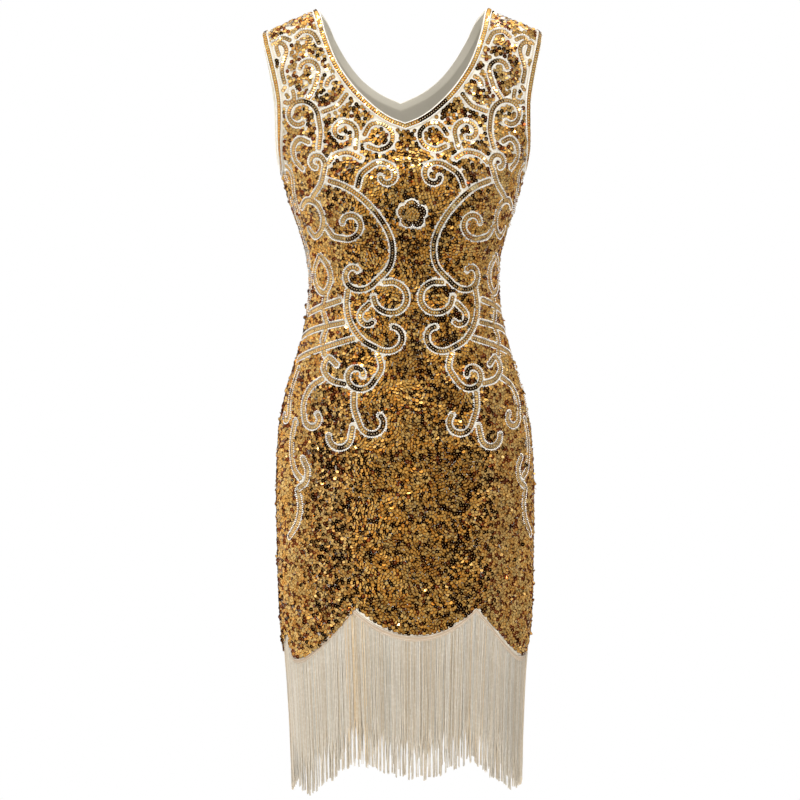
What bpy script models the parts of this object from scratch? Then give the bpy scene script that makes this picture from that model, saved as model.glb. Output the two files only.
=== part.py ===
"""Sleeveless V-neck flapper dress, filled out as if worn, hanging from its shoulders.

Metres, +Z up. The front of the dress faces -Y and its own left side is at +X.
The origin is midway between the two shoulder seams, at their mean height, where
the shoulders of whoever wears it carry the whole dress.

The cloth is one smooth form: level sections stacked in height, each an oval
with its own half width, front depth and back depth. A place on the form is
(angle, z). Angle 0 is the centre front, 90 the left side seam, -90 the right
side seam and 180 the centre back. Necklines, armholes and the scalloped hem
are curves on that form, and every piece is a wall between two offsets of it.
"""

import math
from collections import namedtuple

import bmesh
import bpy
import numpy as np

# ------------------------------------------------------------------ sizes
SHOULDER_TOP = 0.017  # neck point, the highest place on the shoulder seam
UNDERARM_Z = -0.1875  # bottom of the armholes
CLOTH_WALL = 0.0018  # sequinned net with its backing
LINING_WALL = 0.0010
GAP = 0.0003  # between neighbouring pieces
HEM_GAP = 0.0005  # the same measured straight down, where the hem slopes
TRIM_WIDTH = 0.0090  # two bead rows with a chain of sequins between them
TRIM_WALL = 0.0011
TAPE_HEIGHT = 0.0070  # the fringe's woven header
TAPE_WALL = 0.0012
FRINGE_OUT = 0.0010  # the fringe hangs this far in front of the form
FRINGE_IN = 0.0030  # and this far behind it
SKIRT_BLEND_Z = -0.655  # above it the rows of the mesh are level

# ------------------------------------------------------------------ tables
# Level sections of the form. power 2 is an ellipse, more is squarer.
Section = namedtuple("Section", "z half_width front back power")
SECTIONS = [
    Section(-1.0000, 0.1455, 0.1030, 0.1080, 2.10),
    Section(-0.9200, 0.1476, 0.1055, 0.1105, 2.10),
    Section(-0.8120, 0.1532, 0.1100, 0.1150, 2.12),
    Section(-0.7600, 0.1580, 0.1120, 0.1185, 2.12),
    Section(-0.7000, 0.1606, 0.1130, 0.1215, 2.12),
    Section(-0.6500, 0.1614, 0.1130, 0.1245, 2.12),
    Section(-0.6000, 0.1622, 0.1122, 0.1280, 2.12),
    Section(-0.5600, 0.1612, 0.1112, 0.1295, 2.12),
    Section(-0.5200, 0.1588, 0.1100, 0.1275, 2.12),
    Section(-0.4800, 0.1518, 0.1078, 0.1200, 2.14),
    Section(-0.4400, 0.1402, 0.1040, 0.1080, 2.16),
    Section(-0.4000, 0.1284, 0.0985, 0.0930, 2.18),
    Section(-0.3600, 0.1212, 0.0940, 0.0818, 2.18),
    Section(-0.3300, 0.1192, 0.0942, 0.0785, 2.18),
    Section(-0.3000, 0.1212, 0.0990, 0.0815, 2.18),
    Section(-0.2700, 0.1288, 0.1075, 0.0890, 2.20),
    Section(-0.2350, 0.1408, 0.1150, 0.0970, 2.22),
    Section(-0.2000, 0.1506, 0.1142, 0.1022, 2.22),
    Section(-0.1875, 0.1548, 0.1110, 0.1032, 2.20),
    Section(-0.1700, 0.1645, 0.1055, 0.1030, 2.14),
    Section(-0.1500, 0.1740, 0.0985, 0.1015, 2.10),
    Section(-0.1250, 0.1830, 0.0905, 0.0985, 2.06),
    Section(-0.0850, 0.1915, 0.0790, 0.0890, 2.02),
    Section(-0.0650, 0.1930, 0.0735, 0.0825, 2.00),
    Section(-0.0450, 0.1908, 0.0680, 0.0750, 2.00),
    Section(-0.0300, 0.1862, 0.0620, 0.0680, 2.00),
    Section(-0.0220, 0.1820, 0.0580, 0.0630, 2.00),
    Section(-0.0142, 0.1775, 0.0540, 0.0580, 2.00),
    Section(-0.0050, 0.1575, 0.0475, 0.0500, 2.00),
    Section(0.0050, 0.1345, 0.0380, 0.0395, 2.00),
    Section(0.0120, 0.1182, 0.0270, 0.0280, 2.00),
    Section(SHOULDER_TOP, 0.1065, 0.0150, 0.0155, 2.00),
    Section(0.0300, 0.0770, 0.0100, 0.0100, 2.00),
]

# The dress has settled a few degrees round to its left below the neck.
Twist = namedtuple("Twist", "z degrees")
TWISTS = [
    Twist(-1.0000, 3.6),
    Twist(-0.3300, 3.6),
    Twist(-0.2350, 2.1),
    Twist(-0.1300, 0.1),
    Twist(-0.0200, 0.0),
    Twist(0.0300, 0.0),
]

# Half width of each neckline at a height, from the point of the V upwards.
Neck = namedtuple("Neck", "z half_width")
FRONT_NECK = [
    Neck(-0.1365, 0.0000),
    Neck(-0.1297, 0.0165),
    Neck(-0.1081, 0.0444),
    Neck(-0.0814, 0.0676),
    Neck(-0.0535, 0.0843),
    Neck(-0.0162, 0.0977),
    Neck(0.0095, 0.1040),
    Neck(SHOULDER_TOP, 0.1065),
]
BACK_NECK = [
    Neck(-0.0923, 0.0000),
    Neck(-0.0803, 0.0267),
    Neck(-0.0627, 0.0507),
    Neck(-0.0404, 0.0695),
    Neck(-0.0153, 0.0849),
    Neck(0.0063, 0.0960),
    Neck(SHOULDER_TOP, 0.1065),
]

# Half width of the armhole's edge at a height, from the underarm to the tip.
Armhole = namedtuple("Armhole", "z front back")
ARMHOLE_EDGE = [
    Armhole(UNDERARM_Z, 0.15475, 0.15475),
    Armhole(-0.1820, 0.1555, 0.1560),
    Armhole(-0.1700, 0.1570, 0.1590),
    Armhole(-0.1556, 0.1580, 0.1610),
    Armhole(-0.1300, 0.1588, 0.1625),
    Armhole(-0.1085, 0.1595, 0.1630),
    Armhole(-0.0900, 0.1620, 0.1645),
    Armhole(-0.0700, 0.1660, 0.1675),
    Armhole(-0.0470, 0.1712, 0.1718),
    Armhole(-0.0300, 0.1752, 0.1754),
    Armhole(-0.0142, 0.1775, 0.1775),
]

# Scallops from each peak to the next. The low lies between them. fall and rise
# are the powers of the curve on either side of the low: a high one keeps it
# flat and then turns it up steeply, as at the notch by each side seam.
Scallop = namedtuple("Scallop", "start start_z fall low low_z rise end end_z")
HEM = [
    Scallop(-77.0, -0.7690, 5.0, -65.0, -0.8025, 1.6, -27.5, -0.7370),
    Scallop(-27.5, -0.7370, 1.9, 0.0, -0.7710, 1.9, 27.5, -0.7370),
    Scallop(27.5, -0.7370, 1.6, 65.0, -0.8025, 5.0, 77.0, -0.7690),
    Scallop(77.0, -0.7690, 1.6, 101.0, -0.8000, 1.6, 130.0, -0.7500),
    Scallop(130.0, -0.7500, 1.9, 180.0, -0.7860, 1.9, 230.0, -0.7500),
    Scallop(230.0, -0.7500, 1.6, 259.0, -0.8000, 1.6, 283.0, -0.7690),
]
FRINGE_ENDS = [
    Scallop(-77.0, -0.9600, 1.6, -62.0, -0.9770, 1.5, -27.5, -0.9250),
    Scallop(-27.5, -0.9250, 1.7, 0.0, -0.9535, 1.7, 27.5, -0.9310),
    Scallop(27.5, -0.9310, 1.5, 62.0, -0.9760, 1.6, 77.0, -0.9600),
    Scallop(77.0, -0.9600, 1.6, 101.0, -0.9790, 1.6, 130.0, -0.9370),
    Scallop(130.0, -0.9370, 1.8, 180.0, -0.9690, 1.8, 230.0, -0.9370),
    Scallop(230.0, -0.9370, 1.6, 259.0, -0.9790, 1.6, 283.0, -0.9600),
]

# Soft fullness and troughs of the cloth, outwards if height is positive.
# The darts give the bust its fullness; the rest is how the skirt hangs.
Soft = namedtuple("Soft", "angle z half_angle half_height height")
FULLNESS = [
    Soft(31.0, -0.226, 22.0, 0.052, 0.0085),
    Soft(-31.0, -0.226, 22.0, 0.052, 0.0085),
    Soft(0.0, -0.232, 13.0, 0.050, -0.0030),
    Soft(-41.0, -0.700, 13.0, 0.120, -0.0026),
    Soft(14.0, -0.720, 11.0, 0.110, -0.0020),
    Soft(52.0, -0.680, 12.0, 0.130, -0.0028),
    Soft(118.0, -0.700, 14.0, 0.120, -0.0030),
    Soft(-128.0, -0.710, 13.0, 0.120, -0.0026),
    Soft(176.0, -0.690, 12.0, 0.110, -0.0022),
]

# Columns of a panel's mesh, in degrees from its centre line to its side seam.
# They fall on the peaks and lows of the hem.
FRONT_COLUMNS = [0, 7, 14, 21, 27.5, 36, 45.5, 55, 65, 71, 75, 77, 83, 90]
BACK_COLUMNS = [0, 8.5, 17, 25.5, 34, 42, 50, 60, 69.5, 79, 84.5, 90]
SKIRT_ROWS = 4  # from the hem to where the rows are level
BODY_ROWS = 14  # on up to the underarms
STRAP_ROWS = 7  # from the point of the V to the shoulder seam
# Rows from the underarms to the V, the height of the armhole's edge that the
# last of them runs to, and the row of the back panel where the lining starts.
FRONT_CHEST_ROWS, FRONT_CHEST_Z = 4, -0.130
BACK_CHEST_ROWS, BACK_CHEST_Z = 5, -0.104
LINING_ROW = 16

# ------------------------------------------------------------ the form
def curve_through(rows, column):
    """A smooth curve through one column of a table against z, with no
    overshoot between its rows (a monotone cubic)."""
    rows = sorted(rows, key=lambda row: row.z)
    x = np.array([row.z for row in rows], float)
    y = np.array([getattr(row, column) for row in rows], float)
    step = np.diff(x)
    slope = np.diff(y) / step
    bend = np.zeros(len(x))
    for i in range(1, len(x) - 1):
        if slope[i - 1] * slope[i] > 0:
            w1, w2 = 2 * step[i] + step[i - 1], step[i] + 2 * step[i - 1]
            bend[i] = (w1 + w2) / (w1 / slope[i - 1] + w2 / slope[i])
    bend[0], bend[-1] = slope[0], slope[-1]

    def at(z):
        z = np.clip(np.asarray(z, float), x[0], x[-1])
        i = np.clip(np.searchsorted(x, z, side="right") - 1, 0, len(x) - 2)
        h = step[i]
        t = (z - x[i]) / h
        return (
            y[i] * (1 + 2 * t) * (1 - t) ** 2
            + h * bend[i] * t * (1 - t) ** 2
            + y[i + 1] * t * t * (3 - 2 * t)
            - h * bend[i + 1] * t * t * (1 - t)
        )

    return at


half_width_at = curve_through(SECTIONS, "half_width")
front_at = curve_through(SECTIONS, "front")
back_at = curve_through(SECTIONS, "back")
power_at = curve_through(SECTIONS, "power")
twist_at = curve_through(TWISTS, "degrees")


def bell(t):
    """1 at 0, falling smoothly to 0 at 1 and beyond."""
    t = np.clip(np.abs(t), 0, 1)
    return (1 - t * t) ** 2


def turned(angle):
    """An angle brought into -180 to 180."""
    return (np.asarray(angle, float) + 180.0) % 360.0 - 180.0


def fullness(angle, z):
    """How far the cloth stands off its section there."""
    total = np.zeros(np.broadcast(angle, z).shape)
    for s in FULLNESS:
        total = total + s.height * bell(
            turned(angle - s.angle) / (2 * s.half_angle)
        ) * bell((z - s.z) / (2 * s.half_height))
    return total


def bare(angle, z):
    """Points of the form at (angle, z), before any offset."""
    angle, z = np.broadcast_arrays(np.asarray(angle, float), np.asarray(z, float))
    a, n = half_width_at(z), power_at(z)
    at = np.radians(angle + twist_at(z))
    s, c = np.sin(at), np.cos(at)
    b = np.where(c > 0, front_at(z), back_at(z))
    x = a * np.sign(s) * np.abs(s) ** (2 / n)
    y = -b * np.sign(c) * np.abs(c) ** (2 / n)
    lift = fullness(angle, z)
    return np.stack([x + lift * s, y - lift * c, z], axis=-1)


def outward(angle, z):
    """Unit normals of the form at (angle, z), pointing out of the dress."""
    da, dz = 0.6, 0.0012
    across = bare(angle + da, z) - bare(angle - da, z)
    up = bare(angle, z + dz) - bare(angle, z - dz)
    n = np.cross(across, up)
    return n / np.linalg.norm(n, axis=-1, keepdims=True)


def place(angle, z, offset=0.0):
    return bare(angle, z) + outward(angle, z) * offset


def round_to(u, back):
    """The angle on the form that lies u degrees from a panel's centre line."""
    return 180.0 - u if back else u


def seam_u(z, back):
    """How far from its centre line a panel ends, at a side or shoulder seam."""
    b = back_at(z) if back else front_at(z)
    half_gap = (GAP / 2 / b) ** (power_at(z) / 2)
    return 90.0 - np.degrees(np.arcsin(np.minimum(half_gap, 1.0)))


def scallop_z(table, angle):
    """Height of a scalloped edge at an angle."""
    first = table[0].start
    angle = (np.asarray(angle, float) - first) % 360.0 + first
    z = np.zeros(angle.shape)
    for s in table:
        here = (angle >= s.start) & (angle <= s.end)
        before = angle < s.low
        reach = np.where(before, s.low - s.start, s.end - s.low)
        top = np.where(before, s.start_z, s.end_z)
        power = np.where(before, s.fall, s.rise)
        t = np.clip(np.abs(angle - s.low) / reach, 0, 1)
        z = np.where(here, s.low_z + (top - s.low_z) * t**power, z)
    return z


# --------------------------------------------- edges, as (u, z) along a panel
def on_form(path, back):
    return bare(round_to(path[:, 0], back), path[:, 1])


def even(path, back, count):
    """Points of a path, evenly spaced along the cloth."""
    run = np.linalg.norm(np.diff(on_form(path, back), axis=0), axis=1)
    run = np.concatenate([[0.0], np.cumsum(run)])
    at = np.linspace(0, run[-1], count)
    return np.stack([np.interp(at, run, path[:, k]) for k in (0, 1)], axis=1)


def beside(path, back, distance):
    """A path moved sideways over the cloth: down and outwards from a neckline,
    down and inwards from an armhole with a negative distance."""
    u, z = path[:, 0], path[:, 1]
    p = on_form(path, back)
    along = np.gradient(p, axis=0)
    side = np.cross(along, outward(round_to(u, back), z))
    side *= (-1.0 if back else 1.0) * distance / np.linalg.norm(side, axis=1, keepdims=True)
    du, dz = 0.5, 0.001
    by_u = (on_form(path + [du, 0], back) - on_form(path - [du, 0], back)) / (2 * du)
    by_z = (on_form(path + [0, dz], back) - on_form(path - [0, dz], back)) / (2 * dz)
    moved = path.copy()
    for i in range(len(path)):
        pair = np.stack([by_u[i], by_z[i]], axis=1)
        moved[i] += np.linalg.lstsq(pair, side[i], rcond=None)[0]
    return moved


def ended(path, limit):
    """A path cut or carried on so that it ends where u reaches limit(z)."""
    over = path[:, 0] - np.array([limit(z) for z in path[:, 1]])
    inside = over < 0
    last = len(path) - 1 if inside.all() else max(1, int(np.argmin(inside)) - 1)
    a, b = path[last - 1], path[last]
    if not inside.all():
        a, b = path[last], path[last + 1]
    fall = over[last] - over[last - 1] if inside.all() else over[last + 1] - over[last]
    at = over[last - 1] if inside.all() else over[last]
    end = a + (b - a) * (-at / fall)
    end[0] = limit(end[1])
    return np.concatenate([path[: last + 1], [end]])


def u_at_x(x, z):
    """Where the section at z has that half width. The twist is left out, so
    that necklines and armholes turn with the cloth."""
    share = np.clip(np.asarray(x, float) / half_width_at(z), 0.0, 1.0)
    return np.degrees(np.arcsin(share ** (power_at(z) / 2)))


def neck_lines(back, dense=200):
    """A neckline from its V to the shoulder seam, and the line that the trim
    reaches down to, both as (u, z)."""
    table = BACK_NECK if back else FRONT_NECK
    half = curve_through(table, "half_width")
    low, high = table[0].z, table[-1].z
    z = low + (high - low) * np.linspace(0, 1, dense) ** 1.6
    edge = np.stack([np.minimum(u_at_x(half(z), z), seam_u(z, back)), z], axis=1)
    edge[0, 0], edge[-1, 0] = 0.0, seam_u(high, back)
    line = beside(edge, back, TRIM_WIDTH)
    line = ended(line[:-1], lambda z: float(seam_u(z, back)))
    line = ended((line * [-1, 1])[::-1], lambda z: 0.0)[::-1] * [-1, 1]
    return edge, line


def armhole_lines(back, dense=200):
    """An armhole's edge from the underarm to the tip of the shoulder, and the
    line that its trim reaches in to, both as (u, z)."""
    edge_x = curve_through(ARMHOLE_EDGE, "back" if back else "front")
    low, high = ARMHOLE_EDGE[0].z, ARMHOLE_EDGE[-1].z
    t = np.linspace(0, 1, dense)
    z = low + (high - low) * (0.5 - 0.5 * np.cos(math.pi * t))
    edge = np.stack([np.minimum(u_at_x(edge_x(z), z), seam_u(z, back)), z], axis=1)
    edge[0, 0], edge[-1, 0] = seam_u(z[0], back), seam_u(z[-1], back)
    line = beside(edge, back, -TRIM_WIDTH)
    line[0] = [float(seam_u(low - TRIM_WIDTH, back)), low - TRIM_WIDTH]
    line = line[1:][line[1:, 0] < seam_u(line[1:, 1], back)]
    first = [float(seam_u(low - TRIM_WIDTH, back)), low - TRIM_WIDTH]
    line = ended(np.concatenate([[first], line])[1:], lambda z: float(seam_u(z, back)))
    return edge, np.concatenate([[first], line])


# ------------------------------------------------------------ panels
class Panel:
    """The mesh of a front or back panel as numbered (angle, z) points.

    Its rows run up from the hem. Column 1 is the centre line and then the
    trim's line beside the neckline; column 0, above the V only, is the
    neckline. The last column but one is the side seam and then the trim's
    line beside the armhole; the last, above the underarm only, is its edge.
    """

    def __init__(self, back):
        self.back = back
        self.points = []
        self.number = {}
        share = np.array(BACK_COLUMNS if back else FRONT_COLUMNS, float) / 90.0
        self.last = len(share) + 1
        chest_rows = BACK_CHEST_ROWS if back else FRONT_CHEST_ROWS
        chest_z = BACK_CHEST_Z if back else FRONT_CHEST_Z
        neck, neck_line = neck_lines(back)
        arm, arm_line = armhole_lines(back)
        neck = even(neck, back, STRAP_ROWS + 1)
        neck_line = even(neck_line, back, STRAP_ROWS + 1)
        arm, arm_line = (
            np.concatenate(
                [
                    even(path[path[:, 1] <= chest_z], back, chest_rows + 1)[:-1],
                    even(path[path[:, 1] >= chest_z], back, STRAP_ROWS + 1),
                ]
            )
            for path in (arm, arm_line)
        )
        v_low, under_low = neck_line[0, 1], arm_line[0, 1]
        rows = []
        for k in range(SKIRT_ROWS + BODY_ROWS):
            if k < SKIRT_ROWS:
                w = k / SKIRT_ROWS
                u = share * float(seam_u(SKIRT_BLEND_Z, back))
                z = scallop_z(HEM, round_to(u, back)) * (1 - w) + SKIRT_BLEND_Z * w
            else:
                w = (k - SKIRT_ROWS) / BODY_ROWS
                z = SKIRT_BLEND_Z * (1 - w) + under_low * w
                u = share * float(seam_u(z, back))
            rows.append((1, np.stack(np.broadcast_arrays(u, z), axis=1)))
        for k in range(chest_rows + STRAP_ROWS + 1):
            above = max(0, k - chest_rows)
            if k < chest_rows:
                start = np.array([0.0, under_low + (v_low - under_low) * k / chest_rows])
            else:
                start = neck_line[above]
            line = start * (1 - share[:, None]) + arm_line[k] * share[:, None]
            line = np.concatenate([line, arm[k : k + 1]])
            if k >= chest_rows:
                line = np.concatenate([neck[above : above + 1], line])
            rows.append((0 if k >= chest_rows else 1, line))
        self.rows = rows
        for half in (1, -1):
            for r, (first, line) in enumerate(rows):
                for c, (u, z) in enumerate(line, start=first):
                    if half < 0 and u < 1e-6:
                        self.number[half, r, c] = self.number[1, r, c]
                        continue
                    self.number[half, r, c] = len(self.points)
                    self.points.append((half * round_to(u, back), z))

    def cells(self, from_row=0, columns=None, halves=(1, -1)):
        """Its four-cornered faces, all or those between two columns."""
        found = []
        for half in halves:
            for r in range(from_row, len(self.rows) - 1):
                for c in range(self.last) if columns is None else columns:
                    keys = [(half, r, c), (half, r, c + 1), (half, r + 1, c + 1), (half, r + 1, c)]
                    if all(key in self.number for key in keys):
                        found.append([self.number[key] for key in keys])
        return found

    def end_pairs(self, half):
        """Column numbers' points at an armhole's two ends: (line, edge) at the
        underarm and at the shoulder."""
        under = SKIRT_ROWS + BODY_ROWS
        top = len(self.rows) - 1
        return [
            (self.number[half, r, self.last - 1], self.number[half, r, self.last])
            for r in (under, top)
        ]


def grid_cells(rows, columns):
    """Cells of a plain grid, numbered row by row."""
    return [
        [r * columns + c, r * columns + c + 1, (r + 1) * columns + c + 1, (r + 1) * columns + c]
        for r in range(rows - 1)
        for c in range(columns - 1)
    ]


# ------------------------------------------------------------ meshes
def wall(name, points, cells, outer, inner, material):
    """A closed wall over cells of (angle, z) points, between two offsets from
    the form. Every piece splits a cell along the same diagonal."""
    used = sorted({i for cell in cells for i in cell})
    order = {old: new for new, old in enumerate(used)}
    points = np.asarray(points, float)[used]
    count = len(points)
    flat = bare(points[:, 0], points[:, 1])
    faces = []
    for cell in cells:
        a, b, c, d = (order[i] for i in cell)
        across = turned(points[[b, c, d], 0] - points[a, 0])
        up = points[[b, c, d], 1] - points[a, 1]
        area = across[0] * up[1] - across[1] * up[0] + across[1] * up[2] - across[2] * up[1]
        if area < 0:
            b, d = d, b
        if np.linalg.norm(flat[a] - flat[c]) <= np.linalg.norm(flat[b] - flat[d]) + 1e-9:
            faces += [[a, b, c], [a, c, d]]
        else:
            faces += [[a, b, d], [b, c, d]]
    edges = {(f[i], f[(i + 1) % 3]) for f in faces for i in range(3)}
    rim = []
    for i, j in sorted(edges):
        if (j, i) not in edges:
            rim += [[j, i, i + count], [j, i + count, j + count]]
    verts = np.concatenate(
        [place(points[:, 0], points[:, 1], outer), place(points[:, 0], points[:, 1], inner)]
    )
    faces += [[k + count for k in reversed(face)] for face in faces]
    mesh = bpy.data.meshes.new(name)
    mesh.from_pydata([tuple(v) for v in verts], [], faces + rim)
    work = bmesh.new()
    work.from_mesh(mesh)
    bmesh.ops.recalc_face_normals(work, faces=work.faces[:])
    work.to_mesh(mesh)
    work.free()
    mesh.materials.append(material)
    mesh.shade_smooth()
    mesh.set_sharp_from_angle(angle=math.radians(50))
    made = bpy.data.objects.new(name, mesh)
    bpy.context.scene.collection.objects.link(made)
    return made


def hanging(name, back, top, bottom, outer, inner, rows, material):
    """A wall that hangs from the hem. top and bottom give its edges' heights
    at an angle; its columns are those of the panel above it."""
    u = np.array(BACK_COLUMNS if back else FRONT_COLUMNS, float) / 90.0
    u = u * float(seam_u(SKIRT_BLEND_Z, back))
    angles = round_to(np.concatenate([-u[::-1], u[1:]]), back)
    points = []
    for k in range(rows):
        w = k / (rows - 1)
        z = top(angles) * (1 - w) + bottom(angles) * w
        points += list(zip(angles.tolist(), z.tolist()))
    return wall(name, points, grid_cells(rows, len(angles)), outer, inner, material)


def armhole_trim(name, half, front, back, material):
    """A closed strip round one armhole, over the shoulder and the underarm."""
    shift = len(front.points)
    cells = front.cells(columns=[front.last - 1], halves=(half,))
    cells += [
        [i + shift for i in cell]
        for cell in back.cells(columns=[back.last - 1], halves=(half,))
    ]
    for (f_line, f_edge), (b_line, b_edge) in zip(front.end_pairs(half), back.end_pairs(half)):
        cells.append([f_line, f_edge, b_edge + shift, b_line + shift])
    points = front.points + back.points
    return wall(name, points, cells, GAP + TRIM_WALL, GAP, material)


# ------------------------------------------------------------ materials
def finish(name, colour, roughness, metallic=0.0):
    material = bpy.data.materials.new(name)
    material.use_nodes = True
    shader = material.node_tree.nodes["Principled BSDF"]
    shader.inputs["Base Color"].default_value = (*colour, 1.0)
    shader.inputs["Roughness"].default_value = roughness
    shader.inputs["Metallic"].default_value = metallic
    return material


def main():
    for old in list(bpy.data.objects):
        bpy.data.objects.remove(old, do_unlink=True)

    sequins = finish("gold_sequins", (0.62, 0.38, 0.12), 0.30, 0.9)
    beads = finish("ivory_beads", (0.86, 0.82, 0.72), 0.35)
    lining = finish("lining_cloth", (0.52, 0.48, 0.38), 0.60)
    tape = finish("header_tape", (0.80, 0.66, 0.52), 0.55)
    yarn = finish("ivory_yarn", (0.66, 0.57, 0.43), 0.50)

    front, back = Panel(back=False), Panel(back=True)
    for panel, name in ((front, "front"), (back, "back")):
        wall(name + "_panel", panel.points, panel.cells(), 0.0, -CLOTH_WALL, sequins)
        wall(
            "neck_trim_" + name,
            panel.points,
            panel.cells(columns=[0]),
            GAP + TRIM_WALL,
            GAP,
            beads,
        )
    inside = -CLOTH_WALL - GAP
    wall(
        "back_lining",
        back.points,
        back.cells(from_row=LINING_ROW),
        inside,
        inside - LINING_WALL,
        lining,
    )
    armhole_trim("armhole_trim_left", 1, front, back, beads)
    armhole_trim("armhole_trim_right", -1, front, back, beads)

    def hem(angle):
        return scallop_z(HEM, angle)

    for name, is_back in (("front", False), ("back", True)):
        hanging(
            "hem_tape_" + name,
            is_back,
            lambda a: hem(a) - HEM_GAP,
            lambda a: hem(a) - HEM_GAP - TAPE_HEIGHT,
            0.0,
            -TAPE_WALL,
            2,
            tape,
        )
        hanging(
            "fringe_" + name,
            is_back,
            lambda a: hem(a) - 2 * HEM_GAP - TAPE_HEIGHT,
            lambda a: scallop_z(FRINGE_ENDS, a),
            FRINGE_OUT,
            -FRINGE_IN,
            4,
            yarn,
        )


main()
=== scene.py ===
"""Looks of a sleeveless sequinned dress with a scalloped, fringed hem.

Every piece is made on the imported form: the tables and functions that give the
form are repeated here, and places on it are (angle, z), as there. The scrolls
are drawn on the cloth laid flat, and then hung on the form.
"""

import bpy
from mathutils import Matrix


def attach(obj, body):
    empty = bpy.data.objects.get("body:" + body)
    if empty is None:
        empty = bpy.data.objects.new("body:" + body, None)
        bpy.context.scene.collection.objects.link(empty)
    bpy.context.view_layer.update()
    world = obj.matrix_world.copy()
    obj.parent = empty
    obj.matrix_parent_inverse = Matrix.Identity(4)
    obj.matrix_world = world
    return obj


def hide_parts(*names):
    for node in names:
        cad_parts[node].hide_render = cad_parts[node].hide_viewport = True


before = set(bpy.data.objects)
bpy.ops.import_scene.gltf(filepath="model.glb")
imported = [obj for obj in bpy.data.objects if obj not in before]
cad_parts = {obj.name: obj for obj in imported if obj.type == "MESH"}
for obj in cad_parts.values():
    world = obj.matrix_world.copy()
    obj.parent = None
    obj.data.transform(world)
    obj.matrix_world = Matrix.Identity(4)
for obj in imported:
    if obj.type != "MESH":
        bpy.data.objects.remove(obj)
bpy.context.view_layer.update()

import math
from collections import namedtuple

import bpy
import numpy as np
from mathutils import Matrix, Vector

# ------------------------------------------------------------------ sizes
SHOULDER_TOP = 0.017  # neck point, the highest place on the shoulder seam
UNDERARM_Z = -0.1875  # bottom of the armholes
CLOTH_WALL = 0.0018  # sequinned net with its backing
LINING_WALL = 0.0010
GAP = 0.0003  # between neighbouring pieces
HEM_GAP = 0.0005  # the same measured straight down, where the hem slopes
TRIM_WIDTH = 0.0090  # two bead rows with a chain of sequins between them
TRIM_WALL = 0.0011
TAPE_HEIGHT = 0.0070  # the fringe's woven header
TAPE_WALL = 0.0012
FRINGE_OUT = 0.0010  # the fringe hangs this far in front of the form
FRINGE_IN = 0.0030  # and this far behind it
SKIRT_BLEND_Z = -0.655  # above it the rows of the mesh are level

# ------------------------------------------------------------------ tables
# Level sections of the form. power 2 is an ellipse, more is squarer.
Section = namedtuple("Section", "z half_width front back power")
SECTIONS = [
    Section(-1.0000, 0.1455, 0.1030, 0.1080, 2.10),
    Section(-0.9200, 0.1476, 0.1055, 0.1105, 2.10),
    Section(-0.8120, 0.1532, 0.1100, 0.1150, 2.12),
    Section(-0.7600, 0.1580, 0.1120, 0.1185, 2.12),
    Section(-0.7000, 0.1606, 0.1130, 0.1215, 2.12),
    Section(-0.6500, 0.1614, 0.1130, 0.1245, 2.12),
    Section(-0.6000, 0.1622, 0.1122, 0.1280, 2.12),
    Section(-0.5600, 0.1612, 0.1112, 0.1295, 2.12),
    Section(-0.5200, 0.1588, 0.1100, 0.1275, 2.12),
    Section(-0.4800, 0.1518, 0.1078, 0.1200, 2.14),
    Section(-0.4400, 0.1402, 0.1040, 0.1080, 2.16),
    Section(-0.4000, 0.1284, 0.0985, 0.0930, 2.18),
    Section(-0.3600, 0.1212, 0.0940, 0.0818, 2.18),
    Section(-0.3300, 0.1192, 0.0942, 0.0785, 2.18),
    Section(-0.3000, 0.1212, 0.0990, 0.0815, 2.18),
    Section(-0.2700, 0.1288, 0.1075, 0.0890, 2.20),
    Section(-0.2350, 0.1408, 0.1150, 0.0970, 2.22),
    Section(-0.2000, 0.1506, 0.1142, 0.1022, 2.22),
    Section(-0.1875, 0.1548, 0.1110, 0.1032, 2.20),
    Section(-0.1700, 0.1645, 0.1055, 0.1030, 2.14),
    Section(-0.1500, 0.1740, 0.0985, 0.1015, 2.10),
    Section(-0.1250, 0.1830, 0.0905, 0.0985, 2.06),
    Section(-0.0850, 0.1915, 0.0790, 0.0890, 2.02),
    Section(-0.0650, 0.1930, 0.0735, 0.0825, 2.00),
    Section(-0.0450, 0.1908, 0.0680, 0.0750, 2.00),
    Section(-0.0300, 0.1862, 0.0620, 0.0680, 2.00),
    Section(-0.0220, 0.1820, 0.0580, 0.0630, 2.00),
    Section(-0.0142, 0.1775, 0.0540, 0.0580, 2.00),
    Section(-0.0050, 0.1575, 0.0475, 0.0500, 2.00),
    Section(0.0050, 0.1345, 0.0380, 0.0395, 2.00),
    Section(0.0120, 0.1182, 0.0270, 0.0280, 2.00),
    Section(SHOULDER_TOP, 0.1065, 0.0150, 0.0155, 2.00),
    Section(0.0300, 0.0770, 0.0100, 0.0100, 2.00),
]

# The dress has settled a few degrees round to its left below the neck.
Twist = namedtuple("Twist", "z degrees")
TWISTS = [
    Twist(-1.0000, 3.6),
    Twist(-0.3300, 3.6),
    Twist(-0.2350, 2.1),
    Twist(-0.1300, 0.1),
    Twist(-0.0200, 0.0),
    Twist(0.0300, 0.0),
]

# Half width of each neckline at a height, from the point of the V upwards.
Neck = namedtuple("Neck", "z half_width")
FRONT_NECK = [
    Neck(-0.1365, 0.0000),
    Neck(-0.1297, 0.0165),
    Neck(-0.1081, 0.0444),
    Neck(-0.0814, 0.0676),
    Neck(-0.0535, 0.0843),
    Neck(-0.0162, 0.0977),
    Neck(0.0095, 0.1040),
    Neck(SHOULDER_TOP, 0.1065),
]
BACK_NECK = [
    Neck(-0.0923, 0.0000),
    Neck(-0.0803, 0.0267),
    Neck(-0.0627, 0.0507),
    Neck(-0.0404, 0.0695),
    Neck(-0.0153, 0.0849),
    Neck(0.0063, 0.0960),
    Neck(SHOULDER_TOP, 0.1065),
]

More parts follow.
